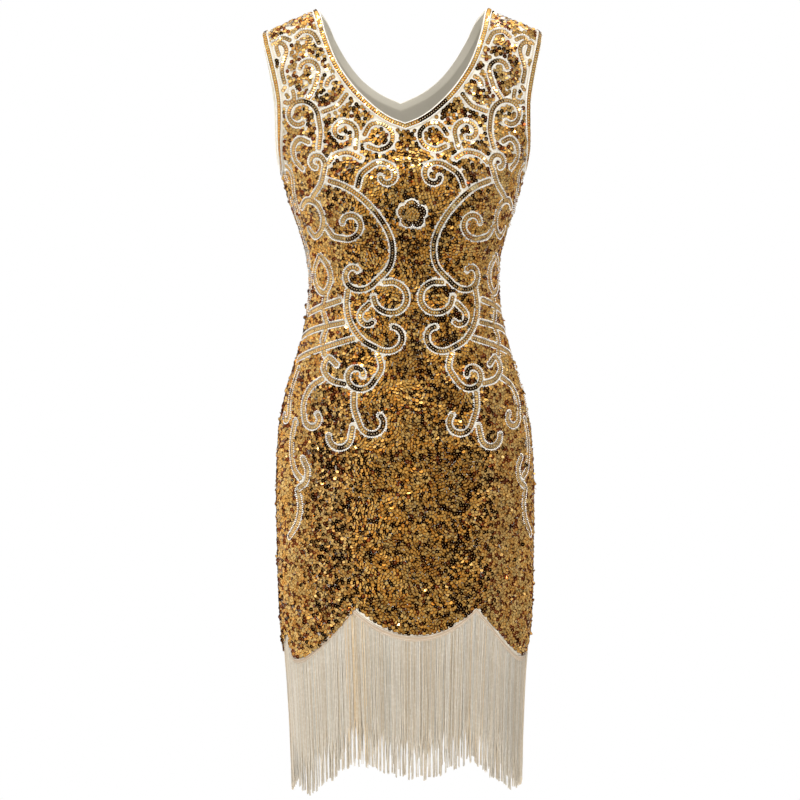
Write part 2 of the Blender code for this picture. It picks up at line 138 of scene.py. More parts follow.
# Half width of the armhole's edge at a height, from the underarm to the tip.
Armhole = namedtuple("Armhole", "z front back")
ARMHOLE_EDGE = [
    Armhole(UNDERARM_Z, 0.15475, 0.15475),
    Armhole(-0.1820, 0.1555, 0.1560),
    Armhole(-0.1700, 0.1570, 0.1590),
    Armhole(-0.1556, 0.1580, 0.1610),
    Armhole(-0.1300, 0.1588, 0.1625),
    Armhole(-0.1085, 0.1595, 0.1630),
    Armhole(-0.0900, 0.1620, 0.1645),
    Armhole(-0.0700, 0.1660, 0.1675),
    Armhole(-0.0470, 0.1712, 0.1718),
    Armhole(-0.0300, 0.1752, 0.1754),
    Armhole(-0.0142, 0.1775, 0.1775),
]

# Scallops from each peak to the next. The low lies between them. fall and rise
# are the powers of the curve on either side of the low: a high one keeps it
# flat and then turns it up steeply, as at the notch by each side seam.
Scallop = namedtuple("Scallop", "start start_z fall low low_z rise end end_z")
HEM = [
    Scallop(-77.0, -0.7690, 5.0, -65.0, -0.8025, 1.6, -27.5, -0.7370),
    Scallop(-27.5, -0.7370, 1.9, 0.0, -0.7710, 1.9, 27.5, -0.7370),
    Scallop(27.5, -0.7370, 1.6, 65.0, -0.8025, 5.0, 77.0, -0.7690),
    Scallop(77.0, -0.7690, 1.6, 101.0, -0.8000, 1.6, 130.0, -0.7500),
    Scallop(130.0, -0.7500, 1.9, 180.0, -0.7860, 1.9, 230.0, -0.7500),
    Scallop(230.0, -0.7500, 1.6, 259.0, -0.8000, 1.6, 283.0, -0.7690),
]
FRINGE_ENDS = [
    Scallop(-77.0, -0.9600, 1.6, -62.0, -0.9770, 1.5, -27.5, -0.9250),
    Scallop(-27.5, -0.9250, 1.7, 0.0, -0.9535, 1.7, 27.5, -0.9310),
    Scallop(27.5, -0.9310, 1.5, 62.0, -0.9760, 1.6, 77.0, -0.9600),
    Scallop(77.0, -0.9600, 1.6, 101.0, -0.9790, 1.6, 130.0, -0.9370),
    Scallop(130.0, -0.9370, 1.8, 180.0, -0.9690, 1.8, 230.0, -0.9370),
    Scallop(230.0, -0.9370, 1.6, 259.0, -0.9790, 1.6, 283.0, -0.9600),
]

# Soft fullness and troughs of the cloth, outwards if height is positive.
# The darts give the bust its fullness; the rest is how the skirt hangs.
Soft = namedtuple("Soft", "angle z half_angle half_height height")
FULLNESS = [
    Soft(31.0, -0.226, 22.0, 0.052, 0.0085),
    Soft(-31.0, -0.226, 22.0, 0.052, 0.0085),
    Soft(0.0, -0.232, 13.0, 0.050, -0.0030),
    Soft(-41.0, -0.700, 13.0, 0.120, -0.0026),
    Soft(14.0, -0.720, 11.0, 0.110, -0.0020),
    Soft(52.0, -0.680, 12.0, 0.130, -0.0028),
    Soft(118.0, -0.700, 14.0, 0.120, -0.0030),
    Soft(-128.0, -0.710, 13.0, 0.120, -0.0026),
    Soft(176.0, -0.690, 12.0, 0.110, -0.0022),
]

# The looks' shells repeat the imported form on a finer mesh: columns in degrees
# from a panel's centre line to its side seam, and rows in metres up from the hem.
FRONT_COLUMNS = [0, 2.5, 5, 7.5, 10, 12.5, 15, 17.5, 20, 22.5, 25, 27.5, 30.5, 33.5, 36.5, 40, 43.5,
                 47, 50.5, 54, 57.5, 61, 65, 68, 70.5, 72.5, 74, 75.5, 77, 79.5, 82.5, 86, 90]
BACK_COLUMNS = [0, 3, 6, 9, 12, 15, 18, 21.5, 25, 28.5, 32, 35.5, 39, 42.5, 46, 50, 54, 58, 62, 66,
                70, 74, 79, 82.5, 86, 90]
SKIRT_ROWS = 14  # from the hem to where the rows are level
BODY_ROWS = 50  # on up to the underarms
STRAP_ROWS = 24  # from the point of the V to the shoulder seam
# Rows from the underarms to the V, the height of the armhole's edge that the
# last of them runs to, and the row of the back panel where the lining starts.
FRONT_CHEST_ROWS, FRONT_CHEST_Z = 10, -0.130
BACK_CHEST_ROWS, BACK_CHEST_Z = 14, -0.104
LINING_ROW = 57

# ------------------------------------------------------------ the form
def curve_through(rows, column):
    """A smooth curve through one column of a table against z, with no
    overshoot between its rows (a monotone cubic)."""
    rows = sorted(rows, key=lambda row: row.z)
    x = np.array([row.z for row in rows], float)
    y = np.array([getattr(row, column) for row in rows], float)
    step = np.diff(x)
    slope = np.diff(y) / step
    bend = np.zeros(len(x))
    for i in range(1, len(x) - 1):
        if slope[i - 1] * slope[i] > 0:
            w1, w2 = 2 * step[i] + step[i - 1], step[i] + 2 * step[i - 1]
            bend[i] = (w1 + w2) / (w1 / slope[i - 1] + w2 / slope[i])
    bend[0], bend[-1] = slope[0], slope[-1]

    def at(z):
        z = np.clip(np.asarray(z, float), x[0], x[-1])
        i = np.clip(np.searchsorted(x, z, side="right") - 1, 0, len(x) - 2)
        h = step[i]
        t = (z - x[i]) / h
        return (
            y[i] * (1 + 2 * t) * (1 - t) ** 2
            + h * bend[i] * t * (1 - t) ** 2
            + y[i + 1] * t * t * (3 - 2 * t)
            - h * bend[i + 1] * t * t * (1 - t)
        )

    return at


half_width_at = curve_through(SECTIONS, "half_width")
front_at = curve_through(SECTIONS, "front")
back_at = curve_through(SECTIONS, "back")
power_at = curve_through(SECTIONS, "power")
twist_at = curve_through(TWISTS, "degrees")


def bell(t):
    """1 at 0, falling smoothly to 0 at 1 and beyond."""
    t = np.clip(np.abs(t), 0, 1)
    return (1 - t * t) ** 2


def turned(angle):
    """An angle brought into -180 to 180."""
    return (np.asarray(angle, float) + 180.0) % 360.0 - 180.0


def fullness(angle, z):
    """How far the cloth stands off its section there."""
    total = np.zeros(np.broadcast(angle, z).shape)
    for s in FULLNESS:
        total = total + s.height * bell(
            turned(angle - s.angle) / (2 * s.half_angle)
        ) * bell((z - s.z) / (2 * s.half_height))
    return total


def bare(angle, z):
    """Points of the form at (angle, z), before any offset."""
    angle, z = np.broadcast_arrays(np.asarray(angle, float), np.asarray(z, float))
    a, n = half_width_at(z), power_at(z)
    at = np.radians(angle + twist_at(z))
    s, c = np.sin(at), np.cos(at)
    b = np.where(c > 0, front_at(z), back_at(z))
    x = a * np.sign(s) * np.abs(s) ** (2 / n)
    y = -b * np.sign(c) * np.abs(c) ** (2 / n)
    lift = fullness(angle, z)
    return np.stack([x + lift * s, y - lift * c, z], axis=-1)


def outward(angle, z):
    """Unit normals of the form at (angle, z), pointing out of the dress."""
    da, dz = 0.6, 0.0012
    across = bare(angle + da, z) - bare(angle - da, z)
    up = bare(angle, z + dz) - bare(angle, z - dz)
    n = np.cross(across, up)
    return n / np.linalg.norm(n, axis=-1, keepdims=True)


def place(angle, z, offset=0.0):
    return bare(angle, z) + outward(angle, z) * offset


def round_to(u, back):
    """The angle on the form that lies u degrees from a panel's centre line."""
    return 180.0 - u if back else u


def seam_u(z, back):
    """How far from its centre line a panel ends, at a side or shoulder seam."""
    b = back_at(z) if back else front_at(z)
    half_gap = (GAP / 2 / b) ** (power_at(z) / 2)
    return 90.0 - np.degrees(np.arcsin(np.minimum(half_gap, 1.0)))


def scallop_z(table, angle):
    """Height of a scalloped edge at an angle."""
    first = table[0].start
    angle = (np.asarray(angle, float) - first) % 360.0 + first
    z = np.zeros(angle.shape)
    for s in table:
        here = (angle >= s.start) & (angle <= s.end)
        before = angle < s.low
        reach = np.where(before, s.low - s.start, s.end - s.low)
        top = np.where(before, s.start_z, s.end_z)
        power = np.where(before, s.fall, s.rise)
        t = np.clip(np.abs(angle - s.low) / reach, 0, 1)
        z = np.where(here, s.low_z + (top - s.low_z) * t**power, z)
    return z


# --------------------------------------------- edges, as (u, z) along a panel
def on_form(path, back):
    return bare(round_to(path[:, 0], back), path[:, 1])


def even(path, back, count):
    """Points of a path, evenly spaced along the cloth."""
    run = np.linalg.norm(np.diff(on_form(path, back), axis=0), axis=1)
    run = np.concatenate([[0.0], np.cumsum(run)])
    at = np.linspace(0, run[-1], count)
    return np.stack([np.interp(at, run, path[:, k]) for k in (0, 1)], axis=1)


def beside(path, back, distance):
    """A path moved sideways over the cloth: down and outwards from a neckline,
    down and inwards from an armhole with a negative distance."""
    u, z = path[:, 0], path[:, 1]
    p = on_form(path, back)
    along = np.gradient(p, axis=0)
    side = np.cross(along, outward(round_to(u, back), z))
    side *= (-1.0 if back else 1.0) * distance / np.linalg.norm(side, axis=1, keepdims=True)
    du, dz = 0.5, 0.001
    by_u = (on_form(path + [du, 0], back) - on_form(path - [du, 0], back)) / (2 * du)
    by_z = (on_form(path + [0, dz], back) - on_form(path - [0, dz], back)) / (2 * dz)
    moved = path.copy()
    for i in range(len(path)):
        pair = np.stack([by_u[i], by_z[i]], axis=1)
        moved[i] += np.linalg.lstsq(pair, side[i], rcond=None)[0]
    return moved


def ended(path, limit):
    """A path cut or carried on so that it ends where u reaches limit(z)."""
    over = path[:, 0] - np.array([limit(z) for z in path[:, 1]])
    inside = over < 0
    last = len(path) - 1 if inside.all() else max(1, int(np.argmin(inside)) - 1)
    a, b = path[last - 1], path[last]
    if not inside.all():
        a, b = path[last], path[last + 1]
    fall = over[last] - over[last - 1] if inside.all() else over[last + 1] - over[last]
    at = over[last - 1] if inside.all() else over[last]
    end = a + (b - a) * (-at / fall)
    end[0] = limit(end[1])
    return np.concatenate([path[: last + 1], [end]])


def u_at_x(x, z):
    """Where the section at z has that half width. The twist is left out, so
    that necklines and armholes turn with the cloth."""
    share = np.clip(np.asarray(x, float) / half_width_at(z), 0.0, 1.0)
    return np.degrees(np.arcsin(share ** (power_at(z) / 2)))


def neck_lines(back, dense=200):
    """A neckline from its V to the shoulder seam, and the line that the trim
    reaches down to, both as (u, z)."""
    table = BACK_NECK if back else FRONT_NECK
    half = curve_through(table, "half_width")
    low, high = table[0].z, table[-1].z
    z = low + (high - low) * np.linspace(0, 1, dense) ** 1.6
    edge = np.stack([np.minimum(u_at_x(half(z), z), seam_u(z, back)), z], axis=1)
    edge[0, 0], edge[-1, 0] = 0.0, seam_u(high, back)
    line = beside(edge, back, TRIM_WIDTH)
    line = ended(line[:-1], lambda z: float(seam_u(z, back)))
    line = ended((line * [-1, 1])[::-1], lambda z: 0.0)[::-1] * [-1, 1]
    return edge, line


def armhole_lines(back, dense=200):
    """An armhole's edge from the underarm to the tip of the shoulder, and the
    line that its trim reaches in to, both as (u, z)."""
    edge_x = curve_through(ARMHOLE_EDGE, "back" if back else "front")
    low, high = ARMHOLE_EDGE[0].z, ARMHOLE_EDGE[-1].z
    t = np.linspace(0, 1, dense)
    z = low + (high - low) * (0.5 - 0.5 * np.cos(math.pi * t))
    edge = np.stack([np.minimum(u_at_x(edge_x(z), z), seam_u(z, back)), z], axis=1)
    edge[0, 0], edge[-1, 0] = seam_u(z[0], back), seam_u(z[-1], back)
    line = beside(edge, back, -TRIM_WIDTH)
    line[0] = [float(seam_u(low - TRIM_WIDTH, back)), low - TRIM_WIDTH]
    line = line[1:][line[1:, 0] < seam_u(line[1:, 1], back)]
    first = [float(seam_u(low - TRIM_WIDTH, back)), low - TRIM_WIDTH]
    line = ended(np.concatenate([[first], line])[1:], lambda z: float(seam_u(z, back)))
    return edge, np.concatenate([[first], line])


# ------------------------------------------------------------ panels
class Panel:
    """The mesh of a front or back panel as numbered (angle, z) points.

    Its rows run up from the hem. Column 1 is the centre line and then the
    trim's line beside the neckline; column 0, above the V only, is the
    neckline. The last column but one is the side seam and then the trim's
    line beside the armhole; the last, above the underarm only, is its edge.
    """

    def __init__(self, back):
        self.back = back
        self.points = []
        self.number = {}
        share = np.array(BACK_COLUMNS if back else FRONT_COLUMNS, float) / 90.0
        self.last = len(share) + 1
        chest_rows = BACK_CHEST_ROWS if back else FRONT_CHEST_ROWS
        chest_z = BACK_CHEST_Z if back else FRONT_CHEST_Z
        neck, neck_line = neck_lines(back)
        arm, arm_line = armhole_lines(back)
        neck = even(neck, back, STRAP_ROWS + 1)
        neck_line = even(neck_line, back, STRAP_ROWS + 1)
        arm, arm_line = (
            np.concatenate(
                [
                    even(path[path[:, 1] <= chest_z], back, chest_rows + 1)[:-1],
                    even(path[path[:, 1] >= chest_z], back, STRAP_ROWS + 1),
                ]
            )
            for path in (arm, arm_line)
        )
        v_low, under_low = neck_line[0, 1], arm_line[0, 1]
        rows = []
        for k in range(SKIRT_ROWS + BODY_ROWS):
            if k < SKIRT_ROWS:
                w = k / SKIRT_ROWS
                u = share * float(seam_u(SKIRT_BLEND_Z, back))
                z = scallop_z(HEM, round_to(u, back)) * (1 - w) + SKIRT_BLEND_Z * w
            else:
                w = (k - SKIRT_ROWS) / BODY_ROWS
                z = SKIRT_BLEND_Z * (1 - w) + under_low * w
                u = share * float(seam_u(z, back))
            rows.append((1, np.stack(np.broadcast_arrays(u, z), axis=1)))
        for k in range(chest_rows + STRAP_ROWS + 1):
            above = max(0, k - chest_rows)
            if k < chest_rows:
                start = np.array([0.0, under_low + (v_low - under_low) * k / chest_rows])
            else:
                start = neck_line[above]
            line = start * (1 - share[:, None]) + arm_line[k] * share[:, None]
            line = np.concatenate([line, arm[k : k + 1]])
            if k >= chest_rows:
                line = np.concatenate([neck[above : above + 1], line])
            rows.append((0 if k >= chest_rows else 1, line))
        self.rows = rows
        for half in (1, -1):
            for r, (first, line) in enumerate(rows):
                for c, (u, z) in enumerate(line, start=first):
                    if half < 0 and u < 1e-6:
                        self.number[half, r, c] = self.number[1, r, c]
                        continue
                    self.number[half, r, c] = len(self.points)
                    self.points.append((half * round_to(u, back), z))

    def cells(self, from_row=0, columns=None, halves=(1, -1)):
        """Its four-cornered faces, all or those between two columns."""
        found = []
        for half in halves:
            for r in range(from_row, len(self.rows) - 1):
                for c in range(self.last) if columns is None else columns:
                    keys = [(half, r, c), (half, r, c + 1), (half, r + 1, c + 1), (half, r + 1, c)]
                    if all(key in self.number for key in keys):
                        found.append([self.number[key] for key in keys])
        return found

    def end_pairs(self, half):
        """Column numbers' points at an armhole's two ends: (line, edge) at the
        underarm and at the shoulder."""
        under = SKIRT_ROWS + BODY_ROWS
        top = len(self.rows) - 1
        return [
            (self.number[half, r, self.last - 1], self.number[half, r, self.last])
            for r in (under, top)
        ]


def grid_cells(rows, columns):
    """Cells of a plain grid, numbered row by row."""
    return [
        [r * columns + c, r * columns + c + 1, (r + 1) * columns + c + 1, (r + 1) * columns + c]
        for r in range(rows - 1)
        for c in range(columns - 1)
    ]


# ------------------------------------------------------------ cloth laid flat
class Skin:
    """One panel's cloth laid flat, for drawing on it: s across from its centre
    line and v up it, both in metres along the cloth. v is 0 where z is -0.3."""

    def __init__(self, back):
        self.back = back
        self.z = np.linspace(-0.834, SHOULDER_TOP + 0.004, 430)
        self.a = np.linspace(-93.0, 93.0, 187)
        p = bare(self.angle(self.a)[None, :], self.z[:, None])
        run = np.linalg.norm(np.diff(p, axis=1), axis=2)
        run = np.concatenate([np.zeros((len(self.z), 1)), np.cumsum(run, axis=1)], axis=1)
        self.s = run - run[:, 93:94]
        at = 93 + 38
        across = p[:, at + 1] - p[:, at - 1]
        across /= np.linalg.norm(across, axis=1, keepdims=True)
        up = np.diff(p[:, at], axis=0)
        up = up - (up * across[1:]).sum(1, keepdims=True) * across[1:]
        v = np.concatenate([[0.0], np.cumsum(np.linalg.norm(up, axis=1))])
        self.v = v - np.interp(-0.3, self.z, v)

    def angle(self, a):
        """Angle on the form of a degrees from this panel's centre line, positive
        towards the dress's left."""
        return 180.0 - np.asarray(a, float) if self.back else np.asarray(a, float)

    def _table(self, table, a, z):
        i = np.clip((np.asarray(a, float) + 93.0), 0, 185.999)
        j = (np.asarray(z, float) - self.z[0]) / (self.z[1] - self.z[0])
        j = np.clip(j, 0, len(self.z) - 1.001)
        i0, j0 = i.astype(int), j.astype(int)
        fi, fj = i - i0, j - j0
        return (table[j0, i0] * (1 - fi) + table[j0, i0 + 1] * fi) * (1 - fj) + (
            table[j0 + 1, i0] * (1 - fi) + table[j0 + 1, i0 + 1] * fi
        ) * fj

    def flat(self, a, z):
        a, z = np.broadcast_arrays(np.asarray(a, float), np.asarray(z, float))
        return np.stack([self._table(self.s, a, z), np.interp(z, self.z, self.v)], axis=-1)

    def hung(self, sv):
        """(a, z) of places on the flat cloth."""
        sv = np.asarray(sv, float)
        z = np.interp(sv[..., 1], self.v, self.z)
        a = sv[..., 0] / 0.0023
        for _ in range(12):
            here = self._table(self.s, a, z)
            slope = (self._table(self.s, a + 0.5, z) - self._table(self.s, a - 0.5, z)) + 1e-9
            a = np.clip(a + (sv[..., 0] - here) / slope, -92.4, 92.4)
        return a, z

    def solid(self, sv, offset=0.0):
        a, z = self.hung(sv)
        return place(self.angle(a), z, offset)


def frames(skin, sv, heading):
    """Places, headings and normals on the hung cloth of points on the flat one."""
    sv = np.asarray(sv, float)
    ahead = np.stack([np.cos(heading), np.sin(heading)], axis=-1) * 0.0006
    a, z = skin.hung(sv)
    p = bare(skin.angle(a), z)
    n = outward(skin.angle(a), z)
    q = skin.solid(sv + ahead) - skin.solid(sv - ahead)
    q = q - (q * n).sum(-1, keepdims=True) * n
    q /= np.linalg.norm(q, axis=-1, keepdims=True) + 1e-12
    return p, q, n


# ------------------------------------------------------------ the scrollwork
# Traditional paired scrolls, drawn for this dress from splines that end in
# curls. Places are millimetres on the flat cloth: s outwards from the centre
# line, and down below the level of the shoulders. Each is also mirrored.
# turn is how far an end curls, in degrees, anticlockwise if positive, while
# its radius goes from wide to tight.
Curl = namedtuple("Curl", "turn wide tight")
Scroll = namedtuple("Scroll", "name points curl", defaults=(None,))
STRAP_SCROLLS = [
    Scroll("tip_loop", [(160, 46), (163, 33), (155, 23), (144, 27)]),
    Scroll("outer_cane", [(153, 82), (156, 64), (150, 44)], Curl(-200, 14, 10)),
    Scroll("shoulder_arc", [(137, 24), (127, 16), (114, 19), (106, 33)]),
    Scroll("middle_cane", [(123, 104), (114, 90), (108, 72)], Curl(-190, 15, 10)),
    Scroll("inner_cane", [(104, 121), (84, 113), (73, 100)], Curl(-215, 17, 12)),
    Scroll("armhole_ring", [(152, 86), (158, 96), (152, 107), (141, 103), (142, 91)]),
]
CHEST_SCROLLS = [
    Scroll("neck_ring", [(52, 152), (42, 138), (28, 138), (17, 150), (21, 165), (35, 171), (49, 166)]),
    Scroll("neck_hook", [(64, 170), (61, 152)], Curl(-300, 18, 8)),
    Scroll("strap_stem", [(111, 168), (107, 146), (109, 126)], Curl(-305, 26, 10)),
    Scroll("small_ear", [(124, 159), (137, 154), (149, 164), (151, 180), (141, 191)]),
    Scroll("under_ear", [(133, 229), (114, 211), (106, 192)], Curl(-285, 14, 6)),
    Scroll("side_hook", [(171, 240), (175, 220), (169, 202)], Curl(-235, 15, 9)),
    Scroll("arch", [(101, 187), (90, 177), (73, 174), (58, 182)]),
    Scroll("breast_spiral", [(66, 218), (60, 202), (46, 191)], Curl(315, 21, 6)),
    Scroll(
        "great_scroll",
        [(103, 208), (80, 217), (58, 234), (38, 258), (26, 286), (29, 313), (48, 334)],
        Curl(285, 30, 6),
    ),
    Scroll("great_inner", [(113, 262), (102, 275), (87, 279)], Curl(-275, 21, 9)),
    Scroll("flank_bow", [(159, 237), (143, 230), (125, 235), (116, 251), (121, 267), (136, 274), (150, 264)]),
    Scroll("flank_stem", [(190, 226), (184, 250), (172, 275), (163, 298), (157, 322), (157, 348), (161, 364)]),
    Scroll("flank_leaf", [(127, 298), (112, 313), (109, 330), (120, 345), (137, 336), (143, 318), (130, 299)]),
]
WAIST_SCROLLS = [
    Scroll("waist_ring", [(38, 334), (23, 334), (11, 343), (9, 358), (19, 370), (34, 371), (46, 363), (50, 351)]),
    Scroll(
        "waist_hook",
        [(82, 338), (85, 362), (79, 386), (64, 406), (45, 417)],
        Curl(-205, 24, 11),
    ),
    Scroll("waist_inner", [(54, 359), (64, 368)], Curl(-185, 12, 8)),
    Scroll("sash_upper", [(160, 371), (126, 363), (94, 355)]),
    Scroll("sash_middle", [(181, 401), (136, 391), (89, 383)]),
    Scroll("sash_lower", [(176, 428), (126, 416), (75, 403)]),
    Scroll("sash_cross", [(117, 347), (121, 366), (115, 385), (121, 405), (117, 424)]),
]
HIP_SCROLLS = [
    Scroll("hip_spiral", [(46, 421), (42, 440), (52, 457)], Curl(340, 22, 7)),
    Scroll("hip_bow", [(99, 436), (111, 427), (118, 440), (108, 454), (88, 460)]),
    Scroll("hip_hook", [(119, 453), (138, 464), (149, 484), (147, 502)], Curl(-215, 14, 8)),
    Scroll("inner_drop", [(77, 470), (77, 490), (70, 511)], Curl(-205, 17, 12)),
    Scroll("middle_drop", [(79, 512), (82, 527)], Curl(170, 15, 14)),
    Scroll("hip_stem", [(167, 440), (175, 456), (180, 476), (178, 496)], Curl(190, 9, 6)),
    Scroll("side_drop", [(163, 505), (169, 530), (168, 552), (162, 568), (153, 577)]),
    Scroll("side_petal", [(149, 552), (142, 566), (145, 581), (156, 589)]),
    Scroll("side_tail", [(158, 592), (154, 612), (159, 632), (174, 650)]),
]
LOBES = 5  # of the small flower on the centre line
FLOWER_DOWN, FLOWER_RADIUS, FLOWER_DEPTH = 251, 13.6, 5.2  # millimetres
BAND_HALF = 0.0041  # from a band's middle to either of its bead rows
BEAD_PITCH, BEAD_RADIUS = 0.00245, 0.00083
CHAIN_PITCH, CHAIN_RADIUS = 0.00345, 0.00285


def spline(points, step=0.0008):
    """A smooth line through a few points (centripetal Catmull-Rom)."""
    p = np.asarray(points, float)
    p = np.concatenate([[2 * p[0] - p[1]], p, [2 * p[-1] - p[-2]]])
    made = []
    for i in range(len(p) - 3):
        q = p[i : i + 4]
        t = np.concatenate([[0.0], np.cumsum(np.linalg.norm(np.diff(q, axis=0), axis=1) ** 0.5)])
        count = max(4, int(np.linalg.norm(q[2] - q[1]) / step))
        x = np.linspace(t[1], t[2], count, endpoint=False)[:, None]
        a = [(t[k + 1] - x) / (t[k + 1] - t[k]) * q[k] + (x - t[k]) / (t[k + 1] - t[k]) * q[k + 1] for k in range(3)]
        b = [(t[k + 2] - x) / (t[k + 2] - t[k]) * a[k] + (x - t[k]) / (t[k + 2] - t[k]) * a[k + 1] for k in range(2)]
        made.append((t[2] - x) / (t[2] - t[1]) * b[0] + (x - t[1]) / (t[2] - t[1]) * b[1])
    return np.concatenate(made + [p[-2:-1]])


def curled(path, curl):
    """A path carried on into a curl."""
    heading = math.atan2(*(path[-1] - path[-3])[::-1])
    at, side = path[-1].copy(), math.copysign(1.0, curl.turn)
    total, done, more = math.radians(abs(curl.turn)), 0.0, []
    while done < total:
        radius = 0.001 * curl.wide * (curl.tight / curl.wide) ** (done / total)
        turn = 0.0008 / radius
        heading += side * turn
        at = at + 0.0008 * np.array([math.cos(heading), math.sin(heading)])
        more.append(at)
        done += turn
    return np.concatenate([path, more])


def turned_out(sv, way, few=False):
    """A heading, reversed on the dress's sides where it would face inwards, so
    that what is sewn there opens to the front or back, apart from a few."""
    inwards = (np.abs(sv[..., 0]) > 0.085) & (np.cos(way) * np.sign(sv[..., 0]) < 0) & ~np.asarray(few)
    return np.where(inwards, way + math.pi, way)


def evened(path, pitch, closed=False):
    """Points and headings along a path at about an even pitch."""
    if closed:
        path = np.concatenate([path, path[:1]])
    run = np.concatenate([[0.0], np.cumsum(np.linalg.norm(np.diff(path, axis=0), axis=1))])
    count = max(1, int(round(run[-1] / pitch)))
    at = (np.arange(count) + (0.0 if closed else 0.5)) * run[-1] / count
    p = np.stack([np.interp(at, run, path[:, k]) for k in range(path.shape[1])], axis=1)
    q = np.stack([np.interp(at + 1e-4, run, path[:, k]) for k in range(path.shape[1])], axis=1)
    r = np.stack([np.interp(at - 1e-4, run, path[:, k]) for k in range(path.shape[1])], axis=1)
    return p, q - r


def flower_at(t, scale=1.0):
    r = 0.001 * scale * (FLOWER_RADIUS + FLOWER_DEPTH * np.abs(np.cos(LOBES / 2 * t)) ** 0.65)
    return np.stack([r * np.sin(t), r * np.cos(t)], axis=1)


def flower(scale=1.0, count=240):
    return flower_at(np.linspace(0, 2 * math.pi, count, endpoint=False), scale)


def down_to_v(skin, down):
    return np.interp(-0.001 * np.asarray(down, float), skin.z, skin.v)


def scroll_paths(skin, scrolls):
    """Each scroll's middle line on the flat cloth, on both halves."""
    paths = []
    for scroll in scrolls:
        p = np.array(scroll.points, float)
        p = np.stack([p[:, 0] * 0.001, down_to_v(skin, p[:, 1])], axis=1)
        path = spline(p)
        if scroll.curl:
            path = curled(path, scroll.curl)
        paths += [path, path * [-1.0, 1.0]]
    return paths


def outline_of(path, half):
    """The line that runs round a band, half to either side and round its ends."""
    t = np.gradient(path, axis=0)
    t /= np.linalg.norm(t, axis=1, keepdims=True)
    n = np.stack([-t[:, 1], t[:, 0]], axis=1)
    turn = np.linspace(math.pi / 2, -math.pi / 2, 14)[1:-1, None]
    last = path[-1] + half * (np.sin(turn) * n[-1] + np.cos(turn) * t[-1])
    first = path[0] + half * (-np.sin(turn) * n[0] - np.cos(turn) * t[0])
    return np.concatenate([path + half * n, last, (path - half * n)[::-1], first])


class Raster:
    """A square-celled map of the flat cloth, for keeping things apart."""

    CELL = 0.0004

    def __init__(self):
        self.low = np.array([-0.250, -0.560])
        self.shape = (2400, 1250)
        self.full = np.zeros(self.shape, bool)

    def cell(self, sv):
        i = ((np.asarray(sv, float) - self.low) / self.CELL).astype(int)
        return np.clip(i[..., 1], 0, self.shape[0] - 1), np.clip(i[..., 0], 0, self.shape[1] - 1)

    def stamp(self, points, radius):
        reach = int(math.ceil(radius / self.CELL))
        g = np.arange(-reach, reach + 1) * self.CELL
        disc = g[:, None] ** 2 + g[None, :] ** 2 <= radius**2
        rows, columns = self.cell(np.asarray(points).reshape(-1, 2))
        for r, c in zip(rows.tolist(), columns.tolist()):
            r0, r1, c0, c1 = r - reach, r + reach + 1, c - reach, c + reach + 1
            if r0 < 0 or c0 < 0 or r1 > self.shape[0] or c1 > self.shape[1]:
                continue
            self.full[r0:r1, c0:c1] |= disc

    def centres(self):
        v = self.low[1] + (np.arange(self.shape[0]) + 0.5) * self.CELL
        s = self.low[0] + (np.arange(self.shape[1]) + 0.5) * self.CELL
        return s, v


OFF_PANEL = {}


def off_panel(skin):
    """Where nothing is sewn: past the seams, hem, neckline and armholes."""
    if skin.back in OFF_PANEL:
        return OFF_PANEL[skin.back]
    ground = Raster()
    s, v = ground.centres()
    z = np.interp(v, skin.v, skin.z)
    reach = np.array([np.interp(z[i], skin.z, skin.s[:, 183]) for i in range(len(v))])
    for name, lines in (("neck", neck_lines(skin.back)), ("arm", armhole_lines(skin.back))):
        line = lines[1]
        limit = np.interp(z, line[:, 1], line[:, 0], left=np.nan)
        s_limit = skin.flat(np.nan_to_num(limit), z)[:, 0]
        above = ~np.isnan(limit) & (z > line[0, 1])
        if name == "neck":
            ground.full |= above[:, None] & (np.abs(s)[None, :] < s_limit[:, None])
        else:
            reach = np.where(above, np.minimum(reach, s_limit), reach)
        flat = skin.flat(line[:, 0], line[:, 1])
        line, _ = evened(flat, 0.0005)
        ground.stamp(np.concatenate([line, line * [-1, 1]]), 0.0027 if name == "neck" else 0.0020)
    ground.full |= np.abs(s)[None, :] > reach[:, None] - 0.0010
    a = np.interp(np.abs(s), skin.s[60, 93:], skin.a[93:]) * np.sign(s)
    hem = scallop_z(HEM, skin.angle(a))
    hem_v = np.interp(hem, skin.z, skin.v)
    ground.full |= v[:, None] < hem_v[None, :] + 0.0022
    ground.full |= (z > SHOULDER_TOP - 0.001)[:, None] | (v > skin.v[-1])[:, None]
    OFF_PANEL[skin.back] = ground
    return ground


def drawn_bands(skin, paths):
    """Bead places along the bands' outlines, and (place, heading) of the
    sequins of their chains, on the flat cloth."""
    channels, taken, outside = Raster(), Raster(), off_panel(skin)
    for path in paths:
        channels.stamp(path[::2], BAND_HALF - 0.0007)
    petals = flower() + [0.0, float(down_to_v(skin, FLOWER_DOWN))]
    beads, chain = [], []
    rows = [(outline_of(path, BAND_HALF), True) for path in paths] + [(petals, True)]
    for line, closed in rows:
        p, _ = evened(line, BEAD_PITCH, closed)
        for place_of in p:
            cell = channels.cell(place_of)
            if channels.full[cell] or outside.full[cell] or taken.full[cell]:
                continue
            beads.append(place_of)
            taken.stamp(place_of, BEAD_PITCH * 0.80)
    taken = Raster()
    rows = [(path, False) for path in paths]
    rows += [(flower(k) + petals.mean(0), True) for k in (0.82, 0.62, 0.40, 0.18)]
    for line, closed in rows:
        p, d = evened(line, CHAIN_PITCH, closed)
        kept = []
        for place_of, way in zip(p, d):
            cell = taken.cell(place_of)
            if not (taken.full[cell] or outside.full[cell]):
                chain.append((place_of, turned_out(place_of, math.atan2(way[1], way[0]))))
                kept.append(place_of)
        taken.stamp(np.array(kept).reshape(-1, 2), CHAIN_PITCH * 0.80)
    return np.array(beads), chain


